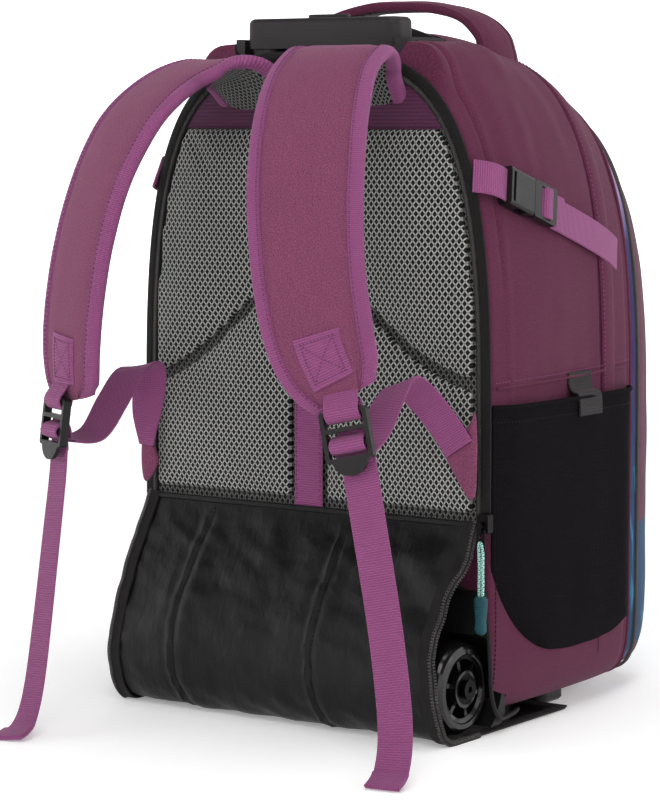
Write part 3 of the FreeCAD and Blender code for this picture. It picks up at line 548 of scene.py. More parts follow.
def smooth_line(points, steps=8):
    """Points along a smooth curve through the given rows of numbers."""
    rows = np.asarray(points, float)
    last = len(rows) - 1
    out = []
    for k in range(last):
        p0, p1, p2, p3 = (rows[min(max(k + d, 0), last)] for d in (-1, 0, 1, 2))
        for t in np.arange(steps) / steps:
            out.append(0.5 * (2 * p1 + (p2 - p0) * t + (2 * p0 - 5 * p1 + 4 * p2 - p3) * t * t
                              + (3 * p1 - p0 - 3 * p2 + p3) * t ** 3))
    return np.array(out + [rows[last]])


def evenly(rows, spacing, dims=3):
    """The same line with its points evenly spaced; the first dims numbers of a row are its place."""
    rows = np.asarray(rows, float)
    steps = np.r_[0, np.cumsum(np.linalg.norm(np.diff(rows[:, :dims], axis=0), axis=1))]
    count = max(2, int(round(steps[-1] / spacing)) + 1)
    s = np.linspace(0, steps[-1], count)
    return read_off(s, steps, rows), s


def at_depth(x, y, z):
    """Points x, y, z of a line that lies at one depth y."""
    return np.stack([x, np.full(len(x), y), z], 1)


def unit(v):
    """Vectors made one long."""
    v = np.asarray(v, float)
    return v / np.maximum(np.linalg.norm(v, axis=-1, keepdims=True), 1e-9)


def directions(line, facing):
    """Along a line, outward as near to facing as can be, and sideways, at each of its points."""
    along = unit(np.gradient(line, axis=0))
    facing = np.broadcast_to(np.asarray(facing, float), line.shape)
    out = unit(facing - along * (facing * along).sum(1, keepdims=True))
    return along, out, np.cross(along, out)


def read_off(at, s, rows):
    """Rows of numbers at distances along a line whose own distances are s."""
    return np.stack([np.interp(at, s, rows[:, k]) for k in range(rows.shape[1])], -1)


def bell(value, width):
    """1 at 0, falling off over about that width."""
    return np.exp(-(np.asarray(value, float) / width) ** 2)


def ease(value, low, high):
    """0 below low and 1 above high, with a smooth step between."""
    t = np.clip((np.asarray(value, float) - low) / (high - low), 0, 1)
    return t * t * (3 - 2 * t)


def roughen(points, scale, seed):
    """Smooth noise from -1 to 1 at points in millimetres."""
    shift = Vector((seed * 7.31, seed * 3.17, seed * 5.71))
    flat = np.asarray(points, float).reshape(-1, 3) / scale
    return np.array([noise.noise(Vector(p) + shift) for p in flat]).reshape(np.asarray(points).shape[:-1])


class Strip:
    """A strip's middle line with its width and face directions, in millimetres."""

    def __init__(self, rows, spacing=3.0):
        """rows: x, y, z, width, and the width direction's three numbers."""
        rows, self.s = evenly(smooth_line(rows), spacing)
        self.mid, self.width = rows[:, :3], rows[:, 3]
        self.along = unit(np.gradient(self.mid, axis=0))
        side = rows[:, 4:7]
        self.side = unit(side - self.along * (side * self.along).sum(1, keepdims=True))
        self.out = np.cross(self.along, self.side)
        self.length = self.s[-1]

    def part(self, start, stop):
        """A piece of the same strip."""
        made = object.__new__(Strip)
        made.s = np.linspace(start, stop, max(3, int((stop - start) / 2.0)))
        for name in ("mid", "along", "side", "out"):
            setattr(made, name, read_off(made.s, self.s, getattr(self, name)))
        made.width = np.interp(made.s, self.s, self.width)
        made.length = stop - start
        return made

    def stitches(self, s, across, out, pitch):
        """A line of stitches on the strip's face, as stitch_piece takes them."""
        zero = np.zeros(len(s))
        facing = self.at(s, zero, zero + 1) - self.at(s, zero, zero)
        rows, _ = evenly(np.c_[self.at(s, across, out), facing], pitch)
        return rows[:, :3], rows[:, 3:]

    def at(self, s, across, out):
        """Points at distances along the strip, across it and above its middle plane."""
        s = np.asarray(s, float)
        mid, side, face = (read_off(s, self.s, rows) for rows in (self.mid, self.side, self.out))
        return mid + side * np.asarray(across, float)[..., None] + face * np.asarray(out, float)[..., None]


def ring_faces(rings, count):
    """Quads between closed rings of count points, then the caps on the first and the last ring."""
    quads = [(i * count + j, i * count + (j + 1) % count, (i + 1) * count + (j + 1) % count,
              (i + 1) * count + j) for i in range(rings - 1) for j in range(count)]
    return quads + [[i * count + j for j in range(count)] for i in (0, rings - 1)]


def ring_uvs(along, across):
    """Cloth coordinates for the quads of ring_faces, in metres along the rings and round them."""
    return [(along[i + di], across[j + dj]) for i in range(len(along) - 1) for j in range(len(across) - 1)
            for di, dj in ((0, 0), (0, 1), (1, 1), (1, 0))]


def slab_faces(n, m):
    """Faces of a closed slab: n rows of m points, the same rows behind them, and the border between."""
    count = n * m
    faces = []
    for i in range(n - 1):
        for j in range(m - 1):
            a, b, c, d = i * m + j, i * m + j + 1, (i + 1) * m + j + 1, (i + 1) * m + j
            faces += [(a, b, c, d), (a + count, d + count, c + count, b + count)]
    border = [*range(m), *(i * m + m - 1 for i in range(1, n)),
              *((n - 1) * m + j for j in range(m - 2, -1, -1)), *(i * m for i in range(n - 2, 0, -1))]
    return faces + [(a, b, b + count, a + count) for a, b in zip(border, border[1:] + border[:1])]


def turn_rows(stations):
    """Strap stations with their turn made into a width direction."""
    return [(*r[:4], math.cos(math.radians(r[4])), math.sin(math.radians(r[4])), 0) for r in stations]


def strip_piece(name, strip, ring, finishes, segment_finish=None, cap_finish=0, ripple=None, **more):
    """Sweeps a closed section along a strip. ring(half width, distance) gives (across, out) points."""
    rings = np.array([ring(w / 2, s) for w, s in zip(strip.width, strip.s)])
    n, k = rings.shape[:2]
    points = strip.mid[:, None] + strip.side[:, None] * rings[..., :1] + strip.out[:, None] * rings[..., 1:2]
    if ripple is not None:
        points = points + strip.out[:, None] * ripple(points, rings, strip)[..., None]
    middle = rings[n // 2]
    steps = np.r_[0, np.cumsum(np.linalg.norm(np.roll(middle, -1, 0) - middle, axis=1))] * MM
    uvs = ring_uvs((strip.s - strip.s[0]) * MM, steps) + [tuple(p * MM) for i in (0, n - 1) for p in rings[i]]
    kinds = (segment_finish or [0] * k) * (n - 1) + [cap_finish] * 2
    return add_piece(name, points.reshape(-1, 3), ring_faces(n, k), finishes, kinds, uvs, **more)


def web_piece(name, rows, spacing=3.0, finish="webbing", slot="purple_webbing", **more):
    """Flat webbing along rows of x, y, z, width and the width direction."""
    return strip_piece(name, Strip(rows, spacing), web_ring, [finish], slot=slot, **more)


def web_ring(half, s=0.0, thick=WEB_T):
    """Section of flat webbing with rounded edges."""
    t, r = thick / 2, thick * 0.4
    inner = half * 0.5
    return [(-half + r, -t), (-inner, -t), (0, -t), (inner, -t), (half - r, -t), (half, -t + r),
            (half, t - r), (half - r, t), (inner, t), (0, t), (-inner, t), (-half + r, t),
            (-half, t - r), (-half, -t + r)]


def tube_piece(name, line, radius, finishes, sides=8, spacing=2.0, relief=None, **more):
    """A round tube along a line of points, its radius changed by relief(distance)."""
    points, s = evenly(line, spacing)
    along = unit(np.gradient(points, axis=0))
    helper = np.where(np.abs(along[:, 2:3]) > 0.9, (1.0, 0.0, 0.0), (0.0, 0.0, 1.0))
    side = unit(np.cross(along, helper))
    for k in range(1, len(side)):
        if side[k] @ side[k - 1] < 0:
            side[k] = -side[k]
        side[k] = unit(side[k - 1] - along[k] * (side[k - 1] @ along[k]))
    other = np.cross(along, side)
    angle = 2 * np.pi * np.arange(sides) / sides
    size = radius * (np.ones(len(s)) if relief is None else relief(s))
    ring = (side[:, None] * np.cos(angle)[None, :, None] + other[:, None] * np.sin(angle)[None, :, None])
    verts = points[:, None] + ring * size[:, None, None]
    girth = 2 * np.pi * radius * MM
    uvs = ring_uvs(s * MM, girth * np.arange(sides + 1) / sides) + [(0.0, 0.0)] * (2 * sides)
    return add_piece(name, verts.reshape(-1, 3), ring_faces(len(s), sides), finishes, None, uvs, **more)


def coil_piece(name, line, pitch, width, height, facing, **more):
    """Zip teeth: a row of small rounded bars across the line, meshed as in a closed coil zip."""
    rows, s = evenly(np.asarray(line, float), pitch / 2)
    along, out, side = directions(rows, facing)
    verts, faces = [], []
    for k in range(len(s)):
        lean = 1 if k % 2 else -1
        for t, lift, half in ((-0.36, 0.0, 1.0), (-0.3, 0.75, 0.86), (0.0, 1.0, 0.8), (0.3, 0.75, 0.86),
                              (0.36, 0.0, 1.0)):
            for edge in (-1, 1):
                verts.append(rows[k] + along[k] * (t * pitch) + out[k] * (lift * height)
                             + side[k] * (edge * half * width / 2 + lean * width * 0.16))
        b = len(verts) - 10
        faces += [(b + 2 * j, b + 2 * j + 1, b + 2 * j + 3, b + 2 * j + 2) for j in range(4)]
        faces += [(b, b + 2, b + 4, b + 6, b + 8), (b + 1, b + 9, b + 7, b + 5, b + 3),
                  (b, b + 8, b + 9, b + 1)]
    return add_piece(name, verts, faces, ["coil"], angle=30.0, **more)


def stitch_piece(name, lines, finish, pitch, radius=0.42, **more):
    """Rows of stitches. lines holds pairs of points and outward directions."""
    length = 0.62  # a stitch's share of the pitch
    stitch_faces = ring_faces(4, 6)
    verts, faces = [], []
    for line, facing in lines:
        rows, s = evenly(np.asarray(line, float), pitch)
        along, out, side = directions(rows, facing)
        for k in range(len(s)):
            b = len(verts)
            half = pitch * length / 2
            for t, size, lift in ((-half, 0.35, -0.15), (-half * 0.55, 1.0, 0.15), (half * 0.55, 1.0, 0.15),
                                  (half, 0.35, -0.15)):
                centre = rows[k] + along[k] * t + out[k] * (lift * radius)
                for q in range(6):
                    a = math.pi * q / 3
                    verts.append(centre + (side[k] * math.cos(a) + out[k] * math.sin(a)) * radius * size)
            faces += [[b + q for q in face] for face in stitch_faces]
    return add_piece(name, verts, faces, [finish], angle=60.0, **more)


# ---------------------------------------------------------------- the bag's outline
def arch(angles, half, top, bottom, inset=0.0):
    """x and z of the bag's outline: rounded bottom corners and an arched top."""
    c, s = np.cos(angles), np.sin(angles)
    power = np.where(s > 0, SHOULDER_POWER, CORNER_POWER)
    height = np.where(s > 0, top - WAIST_Z, WAIST_Z - bottom) - inset
    x = (half - inset) * np.sign(c) * np.abs(c) ** (2 / power)
    return x, WAIST_Z + height * np.sign(s) * np.abs(s) ** (2 / power)


def outline_angles(count):
    waist = np.geomspace(1e-14, 3e-3, 3000)
    dense = np.sort(np.r_[np.linspace(-np.pi / 2, 1.5 * np.pi, 20001), -waist, np.pi + waist])
    x, z = arch(dense, 155, 490, 10)
    s = np.r_[0, np.cumsum(np.hypot(np.diff(x), np.diff(z)))]
    return np.interp(np.arange(count) * s[-1] / count, s, dense)


ANGLES = outline_angles(OUTLINE_COUNT)


def section_at(sections, y):
    rows = smooth_line(sections, 12)
    return [float(np.interp(y, rows[:, 0], rows[:, k])) for k in (1, 2, 3)]


def outline_at(sections, y, inset=0.0):
    """Points x, z round the bag and their outward directions."""
    x, z = arch(ANGLES, *section_at(sections, y), inset)
    dx, dz = np.roll(x, -1) - np.roll(x, 1), np.roll(z, -1) - np.roll(z, 1)
    size = np.hypot(dx, dz)
    return x, z, dz / size, -dx / size


def side_x(y, z):
    """How far out the bag's side is at that depth and height."""
    half, top, bottom = section_at(MAIN_SECTIONS, y)
    end, power = (top, SHOULDER_POWER) if z >= WAIST_Z else (bottom, CORNER_POWER)
    return half * max(0.0, 1 - ((z - WAIST_Z) / (end - WAIST_Z)) ** power) ** (1 / power)


def panel_line(inset, y, spacing=3.0):
    """The open line round the back panel from its lower right end, over the top, to its lower left end."""
    x, z = arch(np.linspace(0, np.pi, 700), *section_at(MAIN_SECTIONS, BACK_Y), inset)
    low = PANEL_BOTTOM_Z - 3
    x, z = np.r_[x[0], x, x[-1]], np.r_[low, z, low]
    return evenly(at_depth(x, y, z), spacing)[0]


def shell_piece(name, sections, rows, relief, finishes, finish_of, **more):
    """Closed shell through the sections. rows: depth y, inset of the outline, size."""
    count = len(ANGLES)
    verts, depth, last = [], [], None
    for y, inset, size in rows:
        at = min(max(y, sections[0][0]), sections[-1][0])
        x, z, nx, nz = outline_at(sections, at, inset)
        lift = relief(x, z, y) if size == 1.0 else 0.0
        ring = np.stack([(x + nx * lift) * size, np.full(count, y), 200 + (z + nz * lift - 200) * size], 1)
        depth.append(0.0 if last is None else depth[-1] + np.linalg.norm(ring[0] - last[0]))
        last = ring
        verts.append(ring)
    verts = np.concatenate(verts)
    faces = ring_faces(len(rows), count)
    uvs = ring_uvs(np.array(depth) * MM, GIRTH * np.arange(count + 1) / count * MM)
    for quad in range(len(faces) - 2):
        a, b, c, d = faces[quad]
        faces[quad] = (a, d, c, b)
        uvs[4 * quad + 1], uvs[4 * quad + 3] = uvs[4 * quad + 3], uvs[4 * quad + 1]
    uvs += [(p[0] * MM, p[2] * MM) for p in (*verts[:count], *verts[-count:])]
    centres = np.array([verts[list(f)].mean(0) for f in faces])
    return add_piece(name, verts, faces, finishes, finish_of(centres), uvs, **more)


def cutter(name, outline, low, high, axis):
    """A plain prism that is only used to cut another piece."""
    return add_piece(name, *prism(outline, low, high, axis), ["lining"], body=None)


def prism(outline, low, high, axis):
    """Verts and faces of a prism whose outline lies across the axis (0 x, 1 y, 2 z)."""
    verts = []
    for level in (low, high):
        for a, b in outline:
            verts.append({0: (level, a, b), 1: (a, level, b), 2: (a, b, level)}[axis])
    n = len(outline)
    faces = [(k, (k + 1) % n, n + (k + 1) % n, n + k) for k in range(n)]
    return verts, faces + [list(range(n)), list(range(n, 2 * n))]


def rounded_outline(a0, a1, b0, b1, radii):
    """Rectangle with its own radius at each corner: low-low, high-low, high-high, low-high."""
    corners = ((a0, b0, 180), (a1, b0, 270), (a1, b1, 0), (a0, b1, 90))
    out = []
    for (a, b, start), r in zip(corners, radii):
        ca = a + r if a == a0 else a - r
        cb = b + r if b == b0 else b - r
        for k in range(7):
            angle = math.radians(start + 15 * k)
            out.append((ca + r * math.cos(angle), cb + r * math.sin(angle)))
    return out


def cut_away(obj, tools):
    for tool in tools:
        change = obj.modifiers.new("cut", "BOOLEAN")
        change.operation, change.solver, change.object = "DIFFERENCE", "EXACT", tool
        change.material_mode = "TRANSFER"
    apply_modifiers(obj)
    for tool in tools:
        bpy.data.objects.remove(tool)


# ---------------------------------------------------------------- pieces
class Maker(bpy.types.Operator):
    """Base of the operators that make the backpack's pieces"""
    bl_idname = "backpack.base"
    bl_label = "Backpack piece"

    def execute(self, context):
        make_finishes(context.scene.bag_sizes, context.scene.bag_colours)
        self.make(context.scene.bag_sizes)
        return {"FINISHED"}

    def make(self, sizes):
        pass


class BACKPACK_OT_body(Maker):
    """Sews the main compartment with its side seams, the rounded back edge and the wheel hollows"""
    bl_idname = "backpack.body"
    bl_label = "Main compartment"

    def make(self, sizes):
        seam = sizes.seam_depth / MM

        def relief(x, z, y):
            points = at_depth(x, y, z)
            high = ease(z, 120, 200)
            low = 1 - ease(z, 20, 60)
            lift = -seam * bell(y + 89, 1.6) * ease(z, 300, 360) + 0.7 * bell(y + 84, 3.5) * high
            lift = lift - 0.9 * bell(y - 41.5, 1.6) * high
            collar = (1 - ease(np.abs(x), 82, 116)) * (1 - ease(y, -38, 4)) * ease(y, -107, -97)
            lift = lift + np.maximum(0.0, 490.5 - z) * collar * (z > 400)
            lift = lift + 1.5 * roughen(points, 90, 1) * (1 - low) * ease(y, -100, -70)
            lift = lift + 0.45 * roughen(points * (1, 0.7, 0.35), 16, 2) * high * ease(y, -100, -60)
            shoulder = bell(z - 440, 50) * ease(np.abs(x), 60, 110)
            lift = lift + shoulder * 1.6 * (roughen(points * (0.3, 1.6, 0.3), 26, 3))
            hip = bell(z - 262, 30) * ease(np.abs(x), 140, 150)
            lift = lift - 1.2 * bell(y - 87, 3) + hip * 0.8 * roughen(points * (0, 0.4, 1.4), 20, 4)
            return lift * ease(y, BACK_Y - 1, BACK_Y + 8)

        rows = [(BACK_Y, 6.0, 0.02), (BACK_Y, 6.0, 0.5), (BACK_Y, 6.0, 0.93), (BACK_Y, 5.5, 1.0),
                (-105.6, 3.2, 1.0), (-104.6, 1.5, 1.0), (-102.8, 0.4, 1.0)]
        seam_rows = (-90.4, -89, -87.6, 40.2, 41.5, 42.8)
        rows += [(y, 0.0, 1.0) for y in np.r_[np.arange(-100, 91, 2.2), seam_rows]]
        rows = rows[:7] + sorted(rows[7:])
        rows += [(SPLIT_Y - 0.8, 0.6, 1.0), (SPLIT_Y, 2.0, 1.0), (SPLIT_Y, 2.0, 0.9), (SPLIT_Y, 2.0, 0.5),
                 (SPLIT_Y, 2.0, 0.02)]
        body = shell_piece("main_body", MAIN_SECTIONS, rows, relief, ["body", "lining"],
                           lambda c: np.zeros(len(c)), slot="body_fabric", replaces=["main_compartment"])
        tools = []
        for sign in (-1, 1):
            outline = rounded_outline(*WHEEL_HOLLOW, (0.5, 0.5, 26, 8))
            tools.append(cutter("wheel_hollow_tool", [(sign * a, b) for a, b in outline], *WHEEL_HOLLOW_Y, 1))
        tools.append(cutter("cup_tool", rounded_outline(*CUP_HOLLOW, (10, 10, 10, 10)), *CUP_HOLLOW_Z, 2))
        corner = [(-140, -20), (-60, -20), (-60, 10)] + [
            (-86 - 20 * math.sin(math.radians(a)), 29.5 - 20 * math.cos(math.radians(a)))
            for a in range(0, 91, 10)] + [(-106, 34), (-140, 34)]
        tools.append(cutter("corner_tool", corner, -200, 200, 0))
        cut_away(body, tools)
        soften(body, 40)

        rim = [(111.5, -106.6, 20), (111.5, -106.6, 92), (113, -106.6, 102), (120, -106.6, 105.5),
               (132, -106.6, 104), (143, -106.6, 97), (150.6, -106.6, 84), (153, -106.4, 68),
               (154, -106.2, 50), (154.5, -105.6, 34), (154.6, -101, 20), (154.4, -93, 12.4),
               (152.5, -84, 10.4), (149, -66, 10.6), (146, -56, 11.4)]
        for side, sign in SIDES:
            line = smooth_line([(sign * x, y, z) for x, y, z in rim], 8)
            tube_piece("hollow_piping_" + side, line, 1.5, ["black_piping"], spacing=2.5, slot="zip_tape")
            stitches = [(sign * (side_x(-99, z) + 0.4), -99.5, z) for z in range(146, 24, -3)]
            bend = [(sign * (side_x(y, 12) + 0.6), y,
                     24 - 11 * math.sin(min(1.0, (y + 99) / 26) * math.pi / 2)) for y in range(-96, -38, 3)]
            stitch_piece("side_stitches_" + side, [(stitches + bend, (sign, 0, 0))], "dark_thread",
                         sizes.stitch_pitch / MM, radius=0.5, slot="body_fabric")


class BACKPACK_OT_front(Maker):
    """Sews the front compartment with its printed gusset, piping and the lower front pocket"""
    bl_idname = "backpack.front"
    bl_label = "Front compartment"

    def make(self, sizes):
        def relief(x, z, y):
            points = at_depth(x, y, z)
            return (1.0 * roughen(points, 60, 5) - 1.0 * bell(y - GUSSET_PIPING_Y, 2.5)
                    + 0.5 * roughen(points * (1, 1, 0.4), 15, 6)) * ease(y, 96, 102)

        ys = sorted(np.r_[np.arange(97.5, 163, 2.5), GUSSET_PIPING_Y])
        rows = [(95, 3, 0.02), (95, 3, 0.9), (95, 2.4, 1.0), (95.6, 1.0, 1.0)] + [(y, 0.0, 1.0) for y in ys]
        rows += [(162.4, 1.0, 1.0), (163, 2.6, 1.0), (163.0, 2.6, 0.95), (163, 2.6, 0.5), (163, 2.6, 0.02)]

        def finish_of(c):
            return np.where(c[:, 1] < 162.9, 1, 0)

        shell_piece("front_panel", FRONT_SECTIONS, rows, relief, ["body", "print"], finish_of,
                    slot="body_fabric", replaces=["front_compartment"])

        def pocket_relief(x, z, y):
            points = at_depth(x, y, z)
            return 1.6 * roughen(points, 34, 7)

        rows = [(163.8, 4, 0.02), (163.8, 4, 0.9), (163.8, 2, 1.0), (164.8, 0.4, 1.0)]
        rows += [(y, 0.0, 1.0) for y in (166.5, 168.5, 170.5, 172.5, 174)]
        rows += [(175.2, 1.4, 1.0), (175.8, 4.5, 1.0), (176, 8, 0.96), (176, 8, 0.6), (176, 8, 0.02)]
        shell_piece("front_pocket", POCKET_SECTIONS, rows, pocket_relief, ["print"],
                    lambda c: np.zeros(len(c)), slot="print_fabric", replaces=["lower_front_pocket"])
        for name, sections, at, inset, y, radius, finish, slot, more in (
                ("gusset_piping", FRONT_SECTIONS, GUSSET_PIPING_Y, -1.0, GUSSET_PIPING_Y + 0.3, 1.3,
                 "piping", "piping", {"replaces": ["front_piping"]}),
                ("front_seam_cord", MAIN_SECTIONS, SPLIT_Y, 1.0, 93.4, 1.5, "body", "body_fabric", {}),
                ("front_pocket_piping", POCKET_SECTIONS, 163.8, -0.6, 163.2, 1.5, "piping", "piping", {})):
            x, z = outline_at(sections, at, inset)[:2]
            line = at_depth(x, y, z)
            tube_piece(name, np.r_[line, line[:1]], radius, [finish], spacing=3.0, slot=slot, **more)
        zip_line = [(x, 163.6 - 0.00012 * x * x, 300 - 0.0014 * x * x) for x in range(-96, 97, 4)]
        web_piece("front_zip_tape", [(*p, 15, 0, 0, 1) for p in zip_line], 4, "tape", "zip_tape")
        coil_piece("front_zip_coil", np.array(zip_line) + (0, 0.8, 0), sizes.tooth_pitch / MM, 4.4, 1.3,
                   (0, 1, 0), slot="zip_tape")


class BACKPACK_OT_main_zip(Maker):
    """Lays the flap and the coil of the main zip round the bag"""
    bl_idname = "backpack.main_zip"
    bl_label = "Main zip"

    def make(self, sizes):
        dense = np.linspace(-0.35, math.pi + 0.35, 340)
        profile = ((42.5, 0.3), (43.5, 1.3), (46, 2.1), (52, 2.5), (57, 2.3), (60.5, 1.9), (61.6, 1.1),
                   (61.2, 0.3), (57, 0.1), (48, 0.1))
        rings = []
        for y, lift in profile:
            x, z = arch(dense, *section_at(MAIN_SECTIONS, y))
            dx, dz = np.gradient(x), np.gradient(z)
            wave = 1 + 0.35 * roughen(at_depth(x, y, z), 40, 8)
            rise = lift * ease(z, 128, 150) * wave / np.hypot(dx, dz)
            rings.append(at_depth(x + dz * rise, y, z - dx * rise))
        verts = np.stack(rings, 1)
        n, k = verts.shape[:2]
        girth = np.r_[0, np.cumsum(np.linalg.norm(np.diff(verts[:, 3], axis=0), axis=1))] * MM
        across = [y * MM for y, _ in (*profile, profile[0])]
        uvs = [(b, a) for a, b in ring_uvs(girth, across)] + [(0.0, 0.0)] * (2 * k)
        add_piece("main_zip_flap", verts.reshape(-1, 3), ring_faces(n, k), ["body"], None, uvs,
                  slot="body_fabric", replaces=["main_zip"])
        lines = []
        for y, lift in ((44.2, 1.7), (62.6, -0.9)):
            half, top, bottom = section_at(MAIN_SECTIONS, y)
            x, z = arch(dense, half + lift, top + lift, bottom)
            keep = z > 150
            lines.append(at_depth(x[keep], y, z[keep]))
        facing = unit(np.stack([lines[0][:, 0], lines[0][:, 0] * 0, lines[0][:, 2] - 260], 1))
        line, _ = evenly(np.c_[lines[0], facing], sizes.stitch_pitch / MM)
        stitch_piece("flap_stitches", [(line[:, :3], line[:, 3:])], "thread", sizes.stitch_pitch / MM,
                     slot="body_fabric")
        tube_piece("main_zip_coil", lines[1], 1.4, ["tape"], sides=6, spacing=1.2, slot="zip_tape",
                   relief=lambda s: 1 + 0.22 * np.sin(s * 2 * np.pi / 2.4))


class BACKPACK_OT_back_panel(Maker):
    """Sets the mesh pads, the panel behind them, the yoke band and the centre webbing"""
    bl_idname = "backpack.back_panel"
    bl_label = "Back panel"

    def make(self, sizes):
        x, z = outline_at(MAIN_SECTIONS, BACK_Y, 6.0)[:2]
        keep = z > PANEL_BOTTOM_Z - 4
        ring = [(a, b) for a, b in zip(x[keep], z[keep])]
        verts, faces = prism(ring, BACK_Y - 1.6, BACK_Y - 0.2, 1)
        # The sheet behind the pads wears the darkened channel mesh: painted shade where it shows in the
        # channels between the pads.
        add_piece("panel_cloth", verts, faces, ["lining_cloth"], slot="black_nylon")
        edge = 9.5
        swell = sizes.pad_swell / MM
        channel = smooth_line(CHANNEL_LINE, 6)
        dense = np.linspace(-0.5, math.pi + 0.5, 900)
        ox, oz = arch(dense, *section_at(MAIN_SECTIONS, BACK_Y), edge)
        gap = oz - np.interp(ox, channel[:, 0], channel[:, 1])
        top = [(a, min(b, PAD_TOP_Z)) for a, b, g in zip(ox, oz, gap) if g > CHANNEL_GAP]
        low_edge = [(a, b + CHANNEL_GAP) for a, b in channel if abs(a) < max(p[0] for p in top) - 2]
        self.pad("upper_mesh_pad", low_edge + [p for p in top if p[0] > 0 or p[1] > 200],
                 ["upper_back_pad"], swell, creases=True)
        pad_low, inner_x = PANEL_BOTTOM_Z + 3, 13.5
        for side, sign in SIDES:
            outer = sorted(((a, b) for a, b, g in zip(ox, oz, gap)
                            if a * sign > 0 and pad_low < b and g < -CHANNEL_GAP), key=lambda p: p[1])
            upper = sorted(((a, b - CHANNEL_GAP) for a, b in channel
                            if inner_x < a * sign < abs(outer[-1][0]) - 1), key=lambda p: -abs(p[0]))
            ring = [(sign * inner_x, pad_low), (outer[0][0], pad_low), *outer, *upper,
                    (sign * inner_x, upper[-1][1] + 2)]
            self.pad("lower_mesh_pad_" + side, ring, ["lower_back_pad_" + side], swell)

        rows = [(0, BACK_Y - 5.4, z, 25, 1, 0, 0) for z in (317, 300, 270, 240, 210, 180, 150)]
        web_piece("centre_web", rows, replaces=["centre_webbing"])
        stitches = [([(x, BACK_Y - 6.3, z) for z in range(315, 157, -4)], (0, -1, 0)) for x in (-10.6, 10.6)]
        stitch_piece("centre_web_stitches", stitches, "web_thread", sizes.stitch_pitch / MM,
                     slot="purple_webbing")

        verts = []
        half, top_z, _ = section_at(MAIN_SECTIONS, BACK_Y)
        half, height = half - edge, top_z - WAIST_Z - edge
        steps, levels = 90, 14
        for i in range(steps + 1):
            t = i / steps * 2 - 1
            for j in range(levels + 1):
                z = PAD_TOP_Z - 2 + (YOKE_TOP_Z - PAD_TOP_Z + 2) * j / levels
                reach = half * (1 - ((z - WAIST_Z) / height) ** SHOULDER_POWER) ** (1 / SHOULDER_POWER)
                bulge = 3.4 * math.sin(math.pi * min(1, max(0, (z - PAD_TOP_Z + 4) / 37))) ** 0.6
                bulge *= 1 - abs(t) ** 8
                bulge += 0.6 * noise.noise(Vector((t * 5, z / 14, 3)))
                verts.append((t * reach, BACK_Y - 2.2 - max(0.4, bulge), z))
        verts += [(x, BACK_Y - 1.6, z) for x, _, z in verts]
        faces = slab_faces(steps + 1, levels + 1)
        uvs = [(verts[q][2] * MM, verts[q][0] * MM) for face in faces for q in face]
        add_piece("yoke", verts, faces, ["yoke"], None, uvs, slot="purple_webbing", replaces=["yoke_band"])

    def pad(self, name, outline, replaced, swell, creases=False):
        """Foam under mesh: a flat blank that is blown up, with its back held to the panel."""
        outline = evenly(np.array([(a, b) for a, b in outline] + [outline[0]]), 4.0, dims=2)[0][:-1]
        middle = outline.mean(0)
        step = unit(middle - outline) * 1.2
        verts, faces = prism([tuple(p) for p in outline + step], BACK_Y - 7.2, BACK_Y - 1.2, 1)
        obj = add_piece(name, verts, faces, ["mesh"], body=None)
        change = obj.modifiers.new("even", "REMESH")
        change.mode, change.voxel_size = "VOXEL", 4.5 * MM
        apply_modifiers(obj)
        blow_up(obj, 4.0, swell, lambda co: np.where(co[:, 1] > (BACK_Y - 3.2) * MM, 1.0, 0.0))
        change = obj.modifiers.new("fine", "SUBSURF")
        change.levels = 1
        apply_modifiers(obj)
        obj.data.materials.clear()
        obj.data.materials.append(FINISHES["mesh"])
        co = np.array([v.co for v in obj.data.vertices]) / MM
        front = ease(BACK_Y - 4.0 - co[:, 1], 0, 3)
        dip = np.zeros(len(co))
        if creases:
            for sign in (-1, 1):
                x = co[:, 0] * sign
                dip = dip + 2.0 * bell(x - 30 - 0.10 * (PAD_TOP_Z - co[:, 2]), 9) * ease(co[:, 2], 330, 380)
        dip = dip + 0.5 * roughen(co, 40, 9)
        co[:, 1] += dip * front
        obj.data.vertices.foreach_set("co", (co * MM).astype(np.float32).ravel())
        obj.data.update()
        soften(obj, 70)
        settle(obj, "bag", "air_mesh", replaced)


def blow_up(obj, pressure, cap, held):
    """Runs a short cloth simulation that swells obj, and keeps its result as the mesh."""
    scene = bpy.context.scene
    start = np.array([v.co for v in obj.data.vertices])
    group = obj.vertex_groups.new(name="held")
    for index, weight in enumerate(held(start)):
        if weight > 0:
            group.add([index], float(weight), "REPLACE")
    change = obj.modifiers.new("swell", "CLOTH")
    cloth, frames = change.settings, 20
    cloth.quality, cloth.mass, cloth.bending_stiffness = 4, 0.2, 1.5
    cloth.tension_stiffness = cloth.compression_stiffness = 20
    cloth.use_pressure, cloth.uniform_pressure_force = True, pressure
    cloth.vertex_group_mass = "held"
    cloth.effector_weights.gravity = 0
    change.point_cache.frame_start, change.point_cache.frame_end = 1, frames
    for number in range(1, frames + 1):
        scene.frame_set(number)
    graph = bpy.context.evaluated_depsgraph_get()
    made = bpy.data.meshes.new_from_object(obj.evaluated_get(graph))
    end = np.array([v.co for v in made.vertices])
    bpy.data.meshes.remove(made)
    obj.modifiers.clear()
    obj.vertex_groups.clear()
    scene.frame_set(1)
    move = end - start
    size = np.linalg.norm(move, axis=1, keepdims=True)
    move *= np.minimum(1.0, cap * MM / np.maximum(size, 1e-9))
    obj.data.vertices.foreach_set("co", (start + move).astype(np.float32).ravel())
    obj.data.update()


